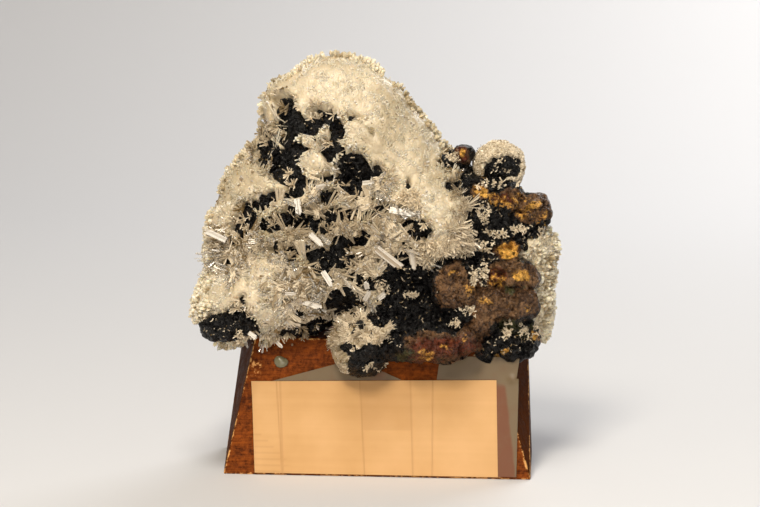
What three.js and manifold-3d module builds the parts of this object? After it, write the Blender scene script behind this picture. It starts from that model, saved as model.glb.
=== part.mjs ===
// Hemimorphite crystals on iron and manganese oxide rock, fixed on a hand cut wooden block
// that carries a bare paper label, clear tape and a drop of glue.
// Millimetres, +Z up. The origin is the middle of the block's underside and the front faces -Y.
import * as THREE from 'three';
import { mergeVertices } from 'three/addons/utils/BufferGeometryUtils.js';
import Module from 'manifold-3d';

const wasm = await Module();
wasm.setup();

// Driving dimensions of the block: corners are front left, front right, back right, back left
const BLOCK_HEIGHT = 35;
const BLOCK_FOOT = [[-39, -16.6], [41.5, -16.6], [40.5, 16.3], [-42.5, 16.3]];
const BLOCK_TOP = [[-31.4, -8.6], [30.8, -8.6], [39.2, 14.8], [-37.2, 14.8]];
const FRONT_LEAN = Math.atan2(BLOCK_TOP[0][1] - BLOCK_FOOT[0][1], BLOCK_HEIGHT);

// Pieces that touch are held this far apart
const GAP = 0.3;

// The paper, tape and glue lie on the block's front. Their corners are (x, distance up its slope)
const PAPER = [[-30.7, 0.5], [33.7, 0.5], [32.7, 25.8], [-32, 24.4]];
const PAPER_THICK = 0.35;
const TAPE_SIDE = [[34.1, 0.6], [37.8, 0.6], [38.4, 24], [37.4, 26.2], [33.1, 26.2]];
const TAPE_TOP = [[16.6, 26], [37.2, 26.6], [38.2, 31.8], [17.4, 31.8]];
const TAPE_LEFT = [[-25.5, 24.9], [7.4, 25.6], [4, 27.6], [-4.5, 29.3], [-9.5, 29.3]];
const TAPE_THICK = 0.25;
const GLUE = { x: -24.5, up: 29.6, radius: 1.7, rise: 0.8 };

// The specimen is modelled as it is seen from VIEW_RISE above the horizontal, in a plane
// square to that view: u runs to the right, v runs up, and depth y runs away from the front
const VIEW_RISE = THREE.MathUtils.degToRad(9);
const VIEW_DISTANCE = 850;
const VIEW_HEIGHT = 56.2;
const SPECIMEN_TURN = THREE.MathUtils.degToRad(5);
const SPECIMEN_BACK = 1.5;

// Outline of the specimen without its knob, clockwise from the left tip
const OUTLINE = [
  [-49.5, 39], [-49, 44], [-47, 48.5], [-45.5, 52.5], [-46, 56], [-45.5, 64.5], [-43, 70.5],
  [-41, 76.5], [-37.5, 81], [-34, 86.5], [-30.5, 92], [-30.5, 98], [-28.5, 102.5], [-23, 104],
  [-18, 108], [-11.5, 109.5], [-2, 107.5], [2.5, 103.5], [6, 101], [9, 96], [13.5, 91.5],
  [16.5, 86.5], [20.5, 84], [25, 79.5], [31, 76], [38, 75.5], [41.5, 69.5], [45.5, 64.5],
  [48.5, 57], [47, 54], [46.5, 46.5], [46.5, 40], [45, 33], [39.5, 30], [33.5, 28.5], [24, 28],
  [16.5, 28], [7, 30], [0, 32], [-7, 33], [-13.5, 35], [-20.5, 31.5], [-28.5, 30.5],
  [-36.5, 32.5], [-40.5, 30.5], [-45.5, 33.5],
];
const CENTRE = { u: 2, v: 60 };
const RIM_INSET = 0.9;
const FRONT_DEPTH = { foot: 23, top: 13 };
const BACK_DEPTH = { foot: 20, top: 12 };
const CRUST_THICK = 3.8;

// Broad swellings (rise > 0) and hollows (rise < 0) of the front
const RELIEF = [
  { u: -36, v: 42, r: 11, rise: 3.5 }, { u: -30, v: 62, r: 10, rise: 1.5 },
  { u: -9, v: 92, r: 15, rise: 2.5 }, { u: 6, v: 78, r: 10, rise: 1.5 },
  { u: 16.5, v: 66.5, r: 7.5, rise: 5 }, { u: -7, v: 77, r: 5, rise: -2.5 },
  { u: 11, v: 46, r: 8, rise: -6 }, { u: -14, v: 37, r: 5, rise: -8 },
  { u: -20, v: 50, r: 8, rise: 2 }, { u: 4, v: 56, r: 6, rise: 2 },
  { u: 37, v: 64, r: 6, rise: -2 }, { u: 27, v: 58, r: 5, rise: -2 },
];
const BACK_RELIEF = [
  { u: -22, v: 58, r: 10, rise: 3 }, { u: 14, v: 60, r: 9, rise: 2.5 },
  { u: -6, v: 86, r: 8, rise: 2 }, { u: -3, v: 47, r: 8, rise: -3.5 },
  { u: 32, v: 48, r: 8, rise: 2.5 }, { u: -34, v: 42, r: 7, rise: 2.5 },
];

// Places where the rock shows: ellipses in the plane of the view, with the hollow's depth
const BARE = [
  { u: -20, v: 92.5, a: 6.2, b: 3.6, deep: 2.2 }, { u: -30, v: 84.5, a: 2.6, b: 3.8, deep: 2 },
  { u: -24.5, v: 79, a: 3.4, b: 5, deep: 2.2 }, { u: -7.3, v: 77.2, a: 4.2, b: 5.4, deep: 2.6 },
  { u: -34.5, v: 66.5, a: 4, b: 3.4, deep: 2 }, { u: -13.5, v: 55.5, a: 4, b: 2.6, deep: 2.2 },
  { u: -3.4, v: 68.3, a: 3.8, b: 2.2, deep: 2 }, { u: -24, v: 58, a: 4.4, b: 1.8, deep: 1.6 },
  { u: -11.5, v: 43.8, a: 3.8, b: 3, deep: 1.6 }, { u: -35, v: 43.8, a: 2.4, b: 2, deep: 1.6 },
  { u: -39.5, v: 36.5, a: 7.4, b: 4.2, deep: 1 }, { u: 11, v: 46, a: 8.5, b: 8, deep: 2 },
  { u: 21, v: 43, a: 13, b: 11.5, deep: 0.4 }, { u: 32, v: 52, a: 9, b: 9.5, deep: 0 },
  { u: 36, v: 66, a: 9.5, b: 8, deep: 0.4 }, { u: 27.5, v: 76, a: 5.5, b: 7, deep: 0.4 },
  { u: 26, v: 31, a: 20, b: 7.5, deep: 0 },
];
const RIGHT_CRUST = { u: 46, v: 46, a: 7.5, b: 14.5 };

// Rounded lumps of rock that grow out of the main mass: place, radii and facet count
const ROCK_LUMPS = [
  { u: -1.5, y: -18, v: 32.5, size: [9.6, 9, 9.2], detail: 2 },
  { u: 19.3, y: -19, v: 48, size: [6.6, 5, 6.4], detail: 2 },
  { u: 33, y: -15, v: 51, size: [6.6, 5, 5], detail: 2 },
  { u: 27, y: -17, v: 40.5, size: [10.5, 6, 5.6], detail: 2 },
  { u: 15.5, y: -18, v: 33, size: [10.5, 7, 5.6], detail: 2 },
  { u: 33.5, y: -10, v: 33.5, size: [8, 7, 5], detail: 1 },
  { u: 32, y: -6, v: 70.5, size: [6.4, 7, 5], detail: 2 },
  { u: 39.5, y: -5, v: 67.5, size: [6, 7, 4.4], detail: 1 },
  { u: 33.5, y: -10.5, v: 57.5, size: [3.2, 4, 2.8], detail: 1 },
  { u: -40, y: -15, v: 36.5, size: [6.6, 4.6, 3.8], detail: 2 },
];
const KNOB = { u: 32.3, y: -2, v: 79.2, core: 6, crust: 7.4, detail: 2 };
const LOBE_CAP = { u: -6.4, y: -14.5, v: 37.2, size: [7.6, 10.5, 7.4], detail: 2 };

// Fans of clear bladed crystals: root, how many, length, and the way that the fan leans
const SPRAYS = [
  { u: 16.5, v: 66.5, count: 13, length: 8.5, spread: 1.5, lean: [0.25, 0] },
  { u: 6.5, v: 67, count: 4, length: 8, spread: 0.8, lean: [0.9, -0.1] },
  { u: -20.5, v: 69, count: 4, length: 8, spread: 0.9, lean: [0.1, 0.3] },
  { u: -15, v: 61, count: 4, length: 9, spread: 0.8, lean: [0.7, -0.1] },
  { u: -10, v: 49.5, count: 4, length: 9.5, spread: 0.8, lean: [0.6, -0.7] },
  { u: 5.5, v: 56, count: 5, length: 9, spread: 0.9, lean: [0.3, -0.5] },
  { u: -42, v: 62, count: 3, length: 6, spread: 0.7, lean: [-0.8, 0.1] },
  { u: -17, v: 42.5, count: 4, length: 8, spread: 0.8, lean: [0.9, -0.1] },
  { u: -24, v: 53.5, count: 3, length: 7, spread: 1, lean: [-0.2, -0.3] },
  { u: -28.5, v: 44, count: 3, length: 6, spread: 1.1, lean: [0, 0] },
  { u: 0, v: 73, count: 3, length: 6, spread: 0.9, lean: [0.5, 0.3] },
  { u: -15, v: 73, count: 4, length: 6.5, spread: 0.9, lean: [-0.2, -0.2] },
  { u: 22, v: 70.5, count: 3, length: 7, spread: 0.6, lean: [0.9, 0.5] },
  { u: 23, v: 62, count: 3, length: 7, spread: 0.7, lean: [0.9, -0.2] },
  { u: -33, v: 74, count: 3, length: 5, spread: 1.1, lean: [-0.3, 0.2] },
  { u: -36, v: 53, count: 3, length: 5.5, spread: 1.1, lean: [-0.5, 0] },
];
const STUB_COUNT = 28;
const TOOTH_COUNT = 34;
const TIP_SHARE = 0.35;
const CHISEL_LENGTH = 4;

const clamp01 = (t) => Math.min(1, Math.max(0, t));
const mix = (a, b, t) => a + (b - a) * t;
const smooth = (t) => clamp01(t) ** 2 * (3 - 2 * clamp01(t));

// A repeatable stream of numbers from 0 to 1
function numberStream(seed) {
  let state = seed;
  return () => {
    state = (state * 1664525 + 1013904223) % 4294967296;
    return state / 4294967296;
  };
}

// Radius of the outline at an angle about the centre, straight from one corner to the next
const CORNERS = OUTLINE.map(([u, v]) => ({
  angle: Math.atan2(v - CENTRE.v, u - CENTRE.u),
  radius: Math.hypot(u - CENTRE.u, v - CENTRE.v),
})).sort((a, b) => a.angle - b.angle);

function outlineRadius(angle) {
  const next = CORNERS.findIndex((corner) => corner.angle > angle);
  const after = CORNERS[next < 0 ? 0 : next];
  const before = CORNERS[(next <= 0 ? CORNERS.length : next) - 1];
  const turn = 2 * Math.PI;
  const span = (after.angle - before.angle + turn) % turn;
  return mix(before.radius, after.radius, ((angle - before.angle + turn) % turn) / span);
}

// From the plane of the view (u, depth, v) to the block's frame
function toBlockFrame(u, y, v) {
  const near = 1 + y / VIEW_DISTANCE;
  const z = VIEW_HEIGHT + (v - VIEW_HEIGHT) * near - y * Math.tan(VIEW_RISE);
  const c = Math.cos(SPECIMEN_TURN);
  const s = Math.sin(SPECIMEN_TURN);
  return new THREE.Vector3(u * near * c - y * s, u * near * s + y * c + SPECIMEN_BACK, z);
}

// Small uneven swelling of a broken rock surface, about -1 to 1
function unevenness(u, y, v) {
  return 0.5 * Math.sin(0.55 * u + 0.31 * v) * Math.cos(0.47 * v - 0.28 * y)
    + 0.5 * Math.sin(0.93 * v + 0.71 * y + 1.3) * Math.cos(0.81 * u - 0.4);
}

// Point of the specimen's skin, sunk inwards by inset. A direction (du, dy, dv) gives the
// place on a pillow: its front view is the outline, and its depth follows the height
function skinPoint(direction, inset) {
  const [du, dy, dv] = direction;
  const angle = Math.atan2(dv, du);
  const out = Math.hypot(du, dv) ** 0.75;
  const flat = Math.sign(dy) * Math.abs(dy) ** 0.8;
  const radius = outlineRadius(angle) - RIM_INSET;
  const u = CENTRE.u + radius * out * Math.cos(angle);
  const v = CENTRE.v + radius * out * Math.sin(angle);
  const depths = dy < 0 ? FRONT_DEPTH : BACK_DEPTH;
  const depth = mix(depths.foot, depths.top, clamp01((v - 30) / 78));
  const relief = (dy < 0 ? RELIEF : BACK_RELIEF).reduce((sum, swelling) => {
    const away = ((u - swelling.u) ** 2 + (v - swelling.v) ** 2) / swelling.r ** 2;
    return sum + swelling.rise * Math.exp(-away);
  }, 0);
  const facing = Math.sign(dy) * smooth(Math.abs(dy) * 2.2);
  const uneven = (dy < 0 ? 0.8 : 1.6) * flat * unevenness(u, depth * flat, v);
  return {
    u: u - inset * out * Math.cos(angle),
    y: (depth - inset) * flat + facing * relief + uneven,
    v: v - inset * out * Math.sin(angle),
  };
}

// How far a place is inside an ellipse: 1 well inside, 0 outside
function inside(ellipse, u, v) {
  const away = Math.hypot((u - ellipse.u) / ellipse.a, (v - ellipse.v) / ellipse.b);
  return smooth((1.25 - away) / 0.45);
}

// Share of crystal crust over a place, and the depth of the bare hollow there
function cover(u, y, v, dy) {
  const right = inside(RIGHT_CRUST, u, v);
  const gapFromRight = smooth((u - 38 - 0.1 * Math.abs(v - 46)) / 1.5);
  if (right * gapFromRight > 0.5) {
    return { share: smooth((8 - y) / 3), deep: 0 };
  }
  const bare = BARE.map((place) => ({ place, share: inside(place, u, v) }))
    .sort((a, b) => b.share - a.share)[0];
  if (dy > 0.1) {
    const wrapped = 3 + 2.5 * unevenness(0.3 * u, 9, 0.5 * v);
    const leftOrTop = smooth((v - 36) / 4) * smooth((22 - u) / 4);
    return { share: leftOrTop * smooth((wrapped + 4 - y) / 2), deep: 0.4 };
  }
  return { share: 1 - bare.share, deep: bare.place.deep };
}

// A closed geometry keeps only its shared corners, and becomes a solid
function toSolid(geometry) {
  geometry.deleteAttribute('normal').deleteAttribute('uv');
  const merged = mergeVertices(geometry, 1e-4);
  return new wasm.Manifold(new wasm.Mesh({
    numProp: 3,
    vertProperties: new Float32Array(merged.attributes.position.array),
    triVerts: new Uint32Array(merged.index.array),
  }));
}

// Rewrites every corner of an even ball of facets by a rule of its direction and number
function shapedBall(detail, rule) {
  const ball = new THREE.IcosahedronGeometry(1, detail);
  ball.deleteAttribute('normal');
  ball.deleteAttribute('uv');
  const merged = mergeVertices(ball, 1e-4);
  const place = merged.attributes.position;
  for (let i = 0; i < place.count; i += 1) {
    const p = rule([place.getX(i), place.getY(i), place.getZ(i)], i);
    place.setXYZ(i, p.x, p.y, p.z);
  }
  return merged;
}

// Body of the specimen's skin: rock lies under the crust, and crust sinks away where rock shows
const ROCK_DETAIL = 6;
const CRUST_DETAIL = 8;

function skinBody(detail, roughness, seed, insetOf) {
  const roll = numberStream(seed);
  return toSolid(shapedBall(detail, (direction) => {
    const face = skinPoint(direction, 0);
    const { share, deep } = cover(face.u, face.y, face.v, direction[1]);
    const p = skinPoint(direction, insetOf(share, deep) + roughness * (roll() - 0.5));
    return toBlockFrame(p.u, p.y, p.v);
  }));
}

function rockSkin(grow) {
  return skinBody(ROCK_DETAIL, 1.3, 7, (share, deep) => mix(deep, CRUST_THICK, share) - grow);
}

function crustSkin() {
  return skinBody(CRUST_DETAIL, 0.9, 21, (share) => mix(CRUST_THICK + 3.5, 0, share));
}

// An uneven lump with facets, at a place in the plane of the view
function lump({ u, y, v, size, detail }, grow = 0, seed = 3) {
  const roll = numberStream(seed + Math.round(97 * (u + 60) + 13 * v));
  return toSolid(shapedBall(detail, ([du, dy, dv]) => {
    const swell = 1 + 0.2 * (roll() - 0.5) + 0.06 * unevenness(5 * du + u, 5 * dy, 5 * dv);
    const [a, b, c] = size.map((radius) => radius * swell + grow);
    return toBlockFrame(u + a * du, y + b * dy, v + c * dv);
  }));
}

const joined = (solids) => solids.reduce((sum, solid) => sum.add(solid));

// Closed skin through rings of equally many points, with flat ends
function ringSolid(rings) {
  const count = rings[0].length;
  const last = (rings.length - 1) * count;
  const faces = [];
  for (let i = 0; i < last; i += count) {
    for (let k = 0; k < count; k += 1) {
      const next = (k + 1) % count;
      faces.push([i + k, i + next, i + count + k], [i + next, i + count + next, i + count + k]);
    }
  }
  for (let k = 1; k < count - 1; k += 1) {
    faces.push([0, k + 1, k], [last, last + k, last + k + 1]);
  }
  const geometry = new THREE.BufferGeometry();
  geometry.setAttribute('position', new THREE.Float32BufferAttribute(rings.flat(2), 3));
  geometry.setIndex(faces.flat());
  return geometry;
}

// A tabular crystal: a four sided prism. A long one narrows at its end to a blunt chisel
function bladeSolid(root, direction, length, width, thick, roll) {
  const ring = (along, share) => [[1, 0], [0, 1], [-1, 0], [0, -1]]
    .map(([x, y]) => [0.5 * share * width * x, 0.5 * share * thick * y, along]);
  const shoulder = length - 0.4 * width;
  const rings = length > CHISEL_LENGTH
    ? [ring(0, 1), ring(shoulder, 1), ring(length, TIP_SHARE)]
    : [ring(0, 1), ring(length, 0.6)];
  const turn = new THREE.Quaternion().setFromUnitVectors(new THREE.Vector3(0, 0, 1), direction);
  turn.multiply(new THREE.Quaternion().setFromAxisAngle(new THREE.Vector3(0, 0, 1), roll));
  const place = new THREE.Matrix4().compose(root, turn, new THREE.Vector3(1, 1, 1));
  return toSolid(ringSolid(rings).applyMatrix4(place));
}

// Place on the crust's front for a point of the view, and the way it faces
function frontPoint(u, v) {
  const angle = Math.atan2(v - CENTRE.v, u - CENTRE.u);
  const radius = outlineRadius(angle) - RIM_INSET;
  const share = Math.min(Math.hypot(u - CENTRE.u, v - CENTRE.v) / radius, 0.985);
  const out = share ** (1 / 0.75);
  const direction = [out * Math.cos(angle), -Math.sqrt(1 - out ** 2), out * Math.sin(angle)];
  const face = skinPoint(direction, 0);
  return toBlockFrame(face.u, face.y, face.v);
}

function frontNormal(u, v) {
  const step = 1.5;
  const across = frontPoint(u + step, v).sub(frontPoint(u - step, v));
  const up = frontPoint(u, v + step).sub(frontPoint(u, v - step));
  return across.cross(up).normalize();
}

function sprays() {
  const roll = numberStream(11);
  return SPRAYS.flatMap(({ u, v, count, length, spread, lean }) => (
    Array.from({ length: count }, (_, k) => {
      const around = k * 2.4 + roll();
      const tilt = spread * Math.sqrt((k + 0.5) / count);
      const shift = 0.42 * length * Math.sqrt((k + 0.5) / count);
      const du = shift * Math.cos(around);
      const dv = shift * Math.sin(around);
      const direction = frontNormal(u + du, v + dv).add(toBlockFrame(
        tilt * Math.cos(around) + lean[0], 0, VIEW_HEIGHT + tilt * Math.sin(around) + lean[1],
      ).sub(toBlockFrame(0, 0, VIEW_HEIGHT))).normalize();
      const root = frontPoint(u + du, v + dv).addScaledVector(direction, -1.6);
      const reach = length * mix(0.7, 1, roll());
      const width = mix(1.5, 2.6, roll());
      return bladeSolid(root, direction, reach, width, 0.9, roll() * Math.PI);
    })
  ));
}

// Short blunt crystals that stand all over the massive crust
function stubs() {
  const roll = numberStream(29);
  const found = [];
  while (found.length < STUB_COUNT) {
    const u = mix(-46, 48, roll());
    const v = mix(34, 106, roll());
    const angle = Math.atan2(v - CENTRE.v, u - CENTRE.u);
    const reach = Math.hypot(u - CENTRE.u, v - CENTRE.v) / outlineRadius(angle);
    if (reach < 0.93 && cover(u, 0, v, -1).share > 0.95) {
      const direction = frontNormal(u, v).add(
        new THREE.Vector3(roll() - 0.5, roll() - 0.5, roll() - 0.5),
      ).normalize();
      const root = frontPoint(u, v).addScaledVector(direction, -1.2);
      found.push(bladeSolid(root, direction, mix(2.8, 3.8, roll()), 2.6, 1.8, roll() * 3));
    }
  }
  return found;
}

// Crystal tips that stand out along the crusted part of the rim
function rimTeeth() {
  const roll = numberStream(43);
  const from = THREE.MathUtils.degToRad(56);
  const to = THREE.MathUtils.degToRad(212);
  return Array.from({ length: TOOTH_COUNT }, (_, k) => {
    const angle = mix(from, to, (k + 0.5 * roll()) / TOOTH_COUNT);
    const wrapped = Math.atan2(Math.sin(angle), Math.cos(angle));
    const depth = mix(-5, 4, roll());
    const radius = outlineRadius(wrapped) - 2.6;
    const root = toBlockFrame(
      CENTRE.u + radius * Math.cos(angle), depth, CENTRE.v + radius * Math.sin(angle),
    );
    const ahead = toBlockFrame(
      CENTRE.u + (radius + 1) * Math.cos(angle + 0.04 * (roll() - 0.5)),
      depth + 0.5 * (roll() - 0.5),
      CENTRE.v + (radius + 1) * Math.sin(angle),
    );
    const direction = ahead.sub(root).normalize();
    return bladeSolid(root, direction, mix(2.1, 3.1, roll()), 2.4, 1.5, roll() * 3);
  });
}

// Solid with eight corners. Its sides are parted from the front foot to the back top corner
function cornerSolid(foot, top, low, high) {
  const corners = [...foot.map(([x, y]) => [x, y, low]), ...top.map(([x, y]) => [x, y, high])];
  const faces = [
    [0, 2, 1], [0, 3, 2], [4, 5, 6], [4, 6, 7], [0, 1, 5], [0, 5, 4],
    [1, 2, 6], [1, 6, 5], [2, 3, 7], [2, 7, 6], [3, 0, 7], [0, 4, 7],
  ];
  const geometry = new THREE.BufferGeometry();
  geometry.setAttribute('position', new THREE.Float32BufferAttribute(corners.flat(), 3));
  geometry.setIndex(faces.flat());
  return geometry;
}

const widened = (corners, by) => (
  corners.map(([x, y]) => [x + Math.sign(x) * by, y + Math.sign(y) * by])
);

// Room that the specimen leaves free: the block, what lies on it, and all that is low behind it
function blockRoom() {
  const top = BLOCK_HEIGHT + GAP;
  const block = cornerSolid(widened(BLOCK_FOOT, 1), widened(BLOCK_TOP, 1), -5, top);
  const behind = new THREE.BoxGeometry(140, 40, top);
  behind.translate(0, 22, top / 2);
  return toSolid(block).add(toSolid(behind));
}

// Plate of even thickness on the block's front, from corners (x, up the slope)
function frontPlate(corners, thick) {
  const plate = new THREE.ExtrudeGeometry(
    new THREE.Shape(corners.map(([x, up]) => new THREE.Vector2(x, up))),
    { depth: thick, bevelEnabled: false },
  );
  return plate;
}

const DOWN_THE_FRONT = new THREE.Matrix4().makeTranslation(0, BLOCK_FOOT[0][1], 0)
  .multiply(new THREE.Matrix4().makeRotationX(Math.PI / 2 - FRONT_LEAN));

function onFront(geometry, lift) {
  return geometry.translate(0, 0, lift).applyMatrix4(DOWN_THE_FRONT);
}

function glueDrop() {
  const { x, up, radius, rise } = GLUE;
  const profile = [[0, 0], [radius, 0], [0.85 * radius, 0.5 * rise], [0.4 * radius, rise], [0, rise]];
  const drop = new THREE.LatheGeometry(profile.map(([r, h]) => new THREE.Vector2(r, h)), 12);
  return drop.rotateX(Math.PI / 2).translate(x, up, 0);
}

function named(name, geometry, colour, roughness) {
  const material = new THREE.MeshStandardMaterial({ color: colour, roughness, metalness: 0 });
  const mesh = new THREE.Mesh(geometry, material);
  mesh.name = name;
  return mesh;
}

function toGeometry(solid) {
  const { vertProperties, triVerts } = solid.getMesh();
  const geometry = new THREE.BufferGeometry();
  geometry.setAttribute('position', new THREE.BufferAttribute(vertProperties, 3));
  geometry.setIndex(new THREE.BufferAttribute(triVerts, 1));
  return geometry;
}

// Rock: the main mass, its lumps and the core of the knob, cut flat where it sits on the block
function rockSolid(grow) {
  const { u, y, v, core, detail } = KNOB;
  const knob = lump({ u, y, v, size: [core, core, core], detail }, grow);
  const lumps = ROCK_LUMPS.map((place) => lump(place, grow));
  return joined([rockSkin(grow), knob, ...lumps]);
}

const room = blockRoom();
const rock = rockSolid(0).subtract(room);
const rockRoom = rockSolid(GAP).add(room);

// Crust: everything that grew on the rock, parted into the pieces that don't touch
const crusts = joined([crustSkin(), lump(LOBE_CAP), ...sprays(), ...stubs(), ...rimTeeth()])
  .subtract(rockRoom)
  .decompose()
  .filter((piece) => piece.volume() > 40)
  .sort((a, b) => b.volume() - a.volume());

// The knob's crust leaves a window on the dark core at the front, and stops at its neck
const knobShell = lump({ ...KNOB, size: [KNOB.crust, KNOB.crust, KNOB.crust], detail: 2 });
const knobWindow = lump({
  u: KNOB.u + 1.8, y: KNOB.y - 7, v: KNOB.v - 0.4, size: [4.4, 5, 4.2], detail: 1,
});
const knobNeck = lump({ u: KNOB.u + 2, y: 0, v: KNOB.v - 9.5, size: [12, 14, 5.5], detail: 1 });

const knobCrust = knobShell.subtract(knobWindow).subtract(knobNeck).subtract(rockRoom);

const specimen = new THREE.Group();
specimen.add(
  named('matrix_rock', toGeometry(rock), 0x4a3626, 0.85),
  named('crystal_crust_main', toGeometry(crusts[0]), 0xe8d6ae, 0.35),
  named('crystal_crust_right', toGeometry(crusts[1]), 0xe3cfa6, 0.5),
  named('crystal_crust_knob', toGeometry(knobCrust), 0xe3cfa6, 0.5),
);

const onBlock = (corners, thick) => onFront(frontPlate(corners, thick), GAP);
const display = new THREE.Group();
display.add(
  named('wood_block', cornerSolid(BLOCK_FOOT, BLOCK_TOP, 0, BLOCK_HEIGHT), 0x6b3418, 0.35),
  named('paper_label', onBlock(PAPER, PAPER_THICK), 0xf0be78, 0.8),
  named('tape_side', onBlock(TAPE_SIDE, TAPE_THICK), 0x9a7f66, 0.3),
  named('tape_top', onBlock(TAPE_TOP, TAPE_THICK), 0x8a7a66, 0.3),
  named('tape_left', onBlock(TAPE_LEFT, TAPE_THICK), 0x8a7a66, 0.3),
  named('glue_drop', onFront(glueDrop(), GAP), 0xa9ac8e, 0.25),
);

const part = new THREE.Group();
part.add(specimen, display);
export default part;
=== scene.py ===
"""Hemimorphite crystals on black and brown oxide rock, on a small varnished wooden block.

Lengths are in millimetres in the block's frame until a mesh is made, and metres after that.
The front faces -Y, +Z is up and the origin is the middle of the block's underside.
"""

import logging
import math
from collections.abc import Callable
from dataclasses import dataclass, field, replace
from enum import Enum
from functools import partial

import bpy
import numpy as np
from bpy.types import Material, Mesh, NodeSocket, NodeTree, Object
from numpy import ndarray
from numpy.random import Generator
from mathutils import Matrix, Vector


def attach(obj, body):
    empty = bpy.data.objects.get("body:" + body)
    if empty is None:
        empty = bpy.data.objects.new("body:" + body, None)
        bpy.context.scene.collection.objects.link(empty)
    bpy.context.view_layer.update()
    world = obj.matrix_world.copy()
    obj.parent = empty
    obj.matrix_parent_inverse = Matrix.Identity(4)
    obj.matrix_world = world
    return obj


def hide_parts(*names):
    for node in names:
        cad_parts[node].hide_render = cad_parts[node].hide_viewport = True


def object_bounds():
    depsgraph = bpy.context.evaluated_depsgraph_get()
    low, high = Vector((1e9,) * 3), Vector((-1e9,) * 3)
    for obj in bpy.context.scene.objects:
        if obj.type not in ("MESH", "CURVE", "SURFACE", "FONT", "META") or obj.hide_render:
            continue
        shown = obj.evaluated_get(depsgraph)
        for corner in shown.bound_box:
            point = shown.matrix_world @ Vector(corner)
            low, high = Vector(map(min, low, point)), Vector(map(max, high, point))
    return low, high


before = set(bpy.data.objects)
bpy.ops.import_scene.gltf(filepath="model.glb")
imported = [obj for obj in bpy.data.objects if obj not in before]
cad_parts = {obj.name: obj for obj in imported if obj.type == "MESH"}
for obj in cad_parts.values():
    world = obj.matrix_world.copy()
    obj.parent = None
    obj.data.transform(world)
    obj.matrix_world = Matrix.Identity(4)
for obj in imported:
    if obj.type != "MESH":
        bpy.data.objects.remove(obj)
CAD_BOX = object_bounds()

LOG = logging.getLogger("specimen")
MM = 0.001
# Painted shade: how far the crust's crystals are darkened in the shaded zones
PAINTED_SHADE_DARKENS = 0.72
HEMIMORPHITE_IOR = 1.62

# A place's three parts, a list of ellipses, and what adds a node to a material
Triple = tuple[float, float, float]
Places = tuple[tuple[float, ...], ...]
AddNode = Callable[..., NodeSocket]


# Numbers and noise


def smooth(values: ndarray) -> ndarray:
    """Eases 0 to 1 with level ends: t squared times (3 - 2t), held to 0 and 1 outside."""
    t = np.clip(values, 0.0, 1.0)
    return t * t * (3.0 - 2.0 * t)


def mix(a: ndarray | float, b: ndarray | float, share: ndarray | float) -> ndarray:
    """Straight blend from a, at share 0, to b, at share 1."""
    return a + (b - a) * share


def unit(vectors: ndarray) -> ndarray:
    """Each row divided by its length."""
    return vectors / np.maximum(np.linalg.norm(vectors, axis=-1, keepdims=True), 1e-9)


def turned(start: ndarray, side: ndarray, angle: ndarray) -> ndarray:
    """Each row turned towards the side by its angle: start times cosine plus side times sine."""
    return np.cos(angle)[:, None] * start + np.sin(angle)[:, None] * side


def hashed(cells: ndarray, seed: int) -> ndarray:
    """A repeatable number from 0 to 1 for each whole-numbered cell.

    Args:
        cells: Whole numbers, one row of three for each cell.
        seed: Changes the pattern.

    Returns:
        One number for each row.
    """
    mixed = (cells[:, 0] * 73856093) ^ (cells[:, 1] * 19349663) ^ (cells[:, 2] * 83492791)
    mixed = (mixed ^ (seed * 265443576)) & 0xFFFFFFFF
    mixed = ((mixed ^ (mixed >> 13)) * 1274126177) & 0xFFFFFFFF
    return ((mixed ^ (mixed >> 16)) & 0xFFFF) / 65535.0


def soft_noise(points: ndarray, size: float, seed: int) -> ndarray:
    """Smooth noise from -1 to 1: hashed values at the corners of cubes, eased between them.

    Args:
        points: Places in mm, one row each.
        size: Edge of a cube in mm.
        seed: Changes the pattern.

    Returns:
        One number for each place.
    """
    cell = points / size
    base = np.floor(cell).astype(np.int64)
    ease = smooth(cell - base)
    total = np.zeros(len(points))
    for corner in range(8):
        step = np.array([corner & 1, (corner >> 1) & 1, (corner >> 2) & 1])
        share = np.prod(np.where(step == 1, ease, 1.0 - ease), axis=1)
        total += share * hashed(base + step, seed)
    return 2.0 * total - 1.0


def rough_noise(points: ndarray, size: float, seed: int, octaves: int = 3) -> ndarray:
    """Noise whose octaves halve in size and in height, from about -1 to 1."""
    total = np.zeros(len(points))
    for octave in range(octaves):
        total += soft_noise(points, size / 2**octave, seed + octave) / 2**octave
    return total / (2.0 - 2.0 ** (1 - octaves))


def grains(points: ndarray, size: float, seed: int) -> ndarray:
    """Rounded grains packed in space, 1 at a grain's middle and 0 between grains.

    Each cube of space holds one seed at a hashed place, and the height is
    1 minus the squared distance to the nearest seed, in cubes.

    Args:
        points: Places in mm, one row each.
        size: Edge of a cube, which is about a grain's width.
        seed: Changes the pattern.

    Returns:
        One height for each place.
    """
    cell = points / size
    base = np.floor(cell).astype(np.int64)
    nearest = np.full(len(points), 9.0)
    for step in np.ndindex(3, 3, 3):
        cube = base + np.array(step) - 1
        middle = cube + np.stack([hashed(cube, seed + k) for k in range(3)], axis=1)
        nearest = np.minimum(nearest, np.sum((middle - cell) ** 2, axis=1))
    return np.clip(1.0 - nearest, 0.0, 1.0)


# Meshes


@dataclass
class Sheet:
    """A closed surface: places in the block's frame, places in the view's plane, and faces."""

    points: ndarray
    plane: ndarray
    faces: list[ndarray]

    def normals(self) -> ndarray:
        """Direction square to the surface at each point: the sum of its faces' directions."""
        total = np.zeros_like(self.points)
        for group in self.faces:
            corners = self.points[group]
            square = np.cross(corners[:, 2] - corners[:, 0], corners[:, -1] - corners[:, 1])
            for column in range(group.shape[1]):
                np.add.at(total, group[:, column], square)
        return unit(total)


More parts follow.
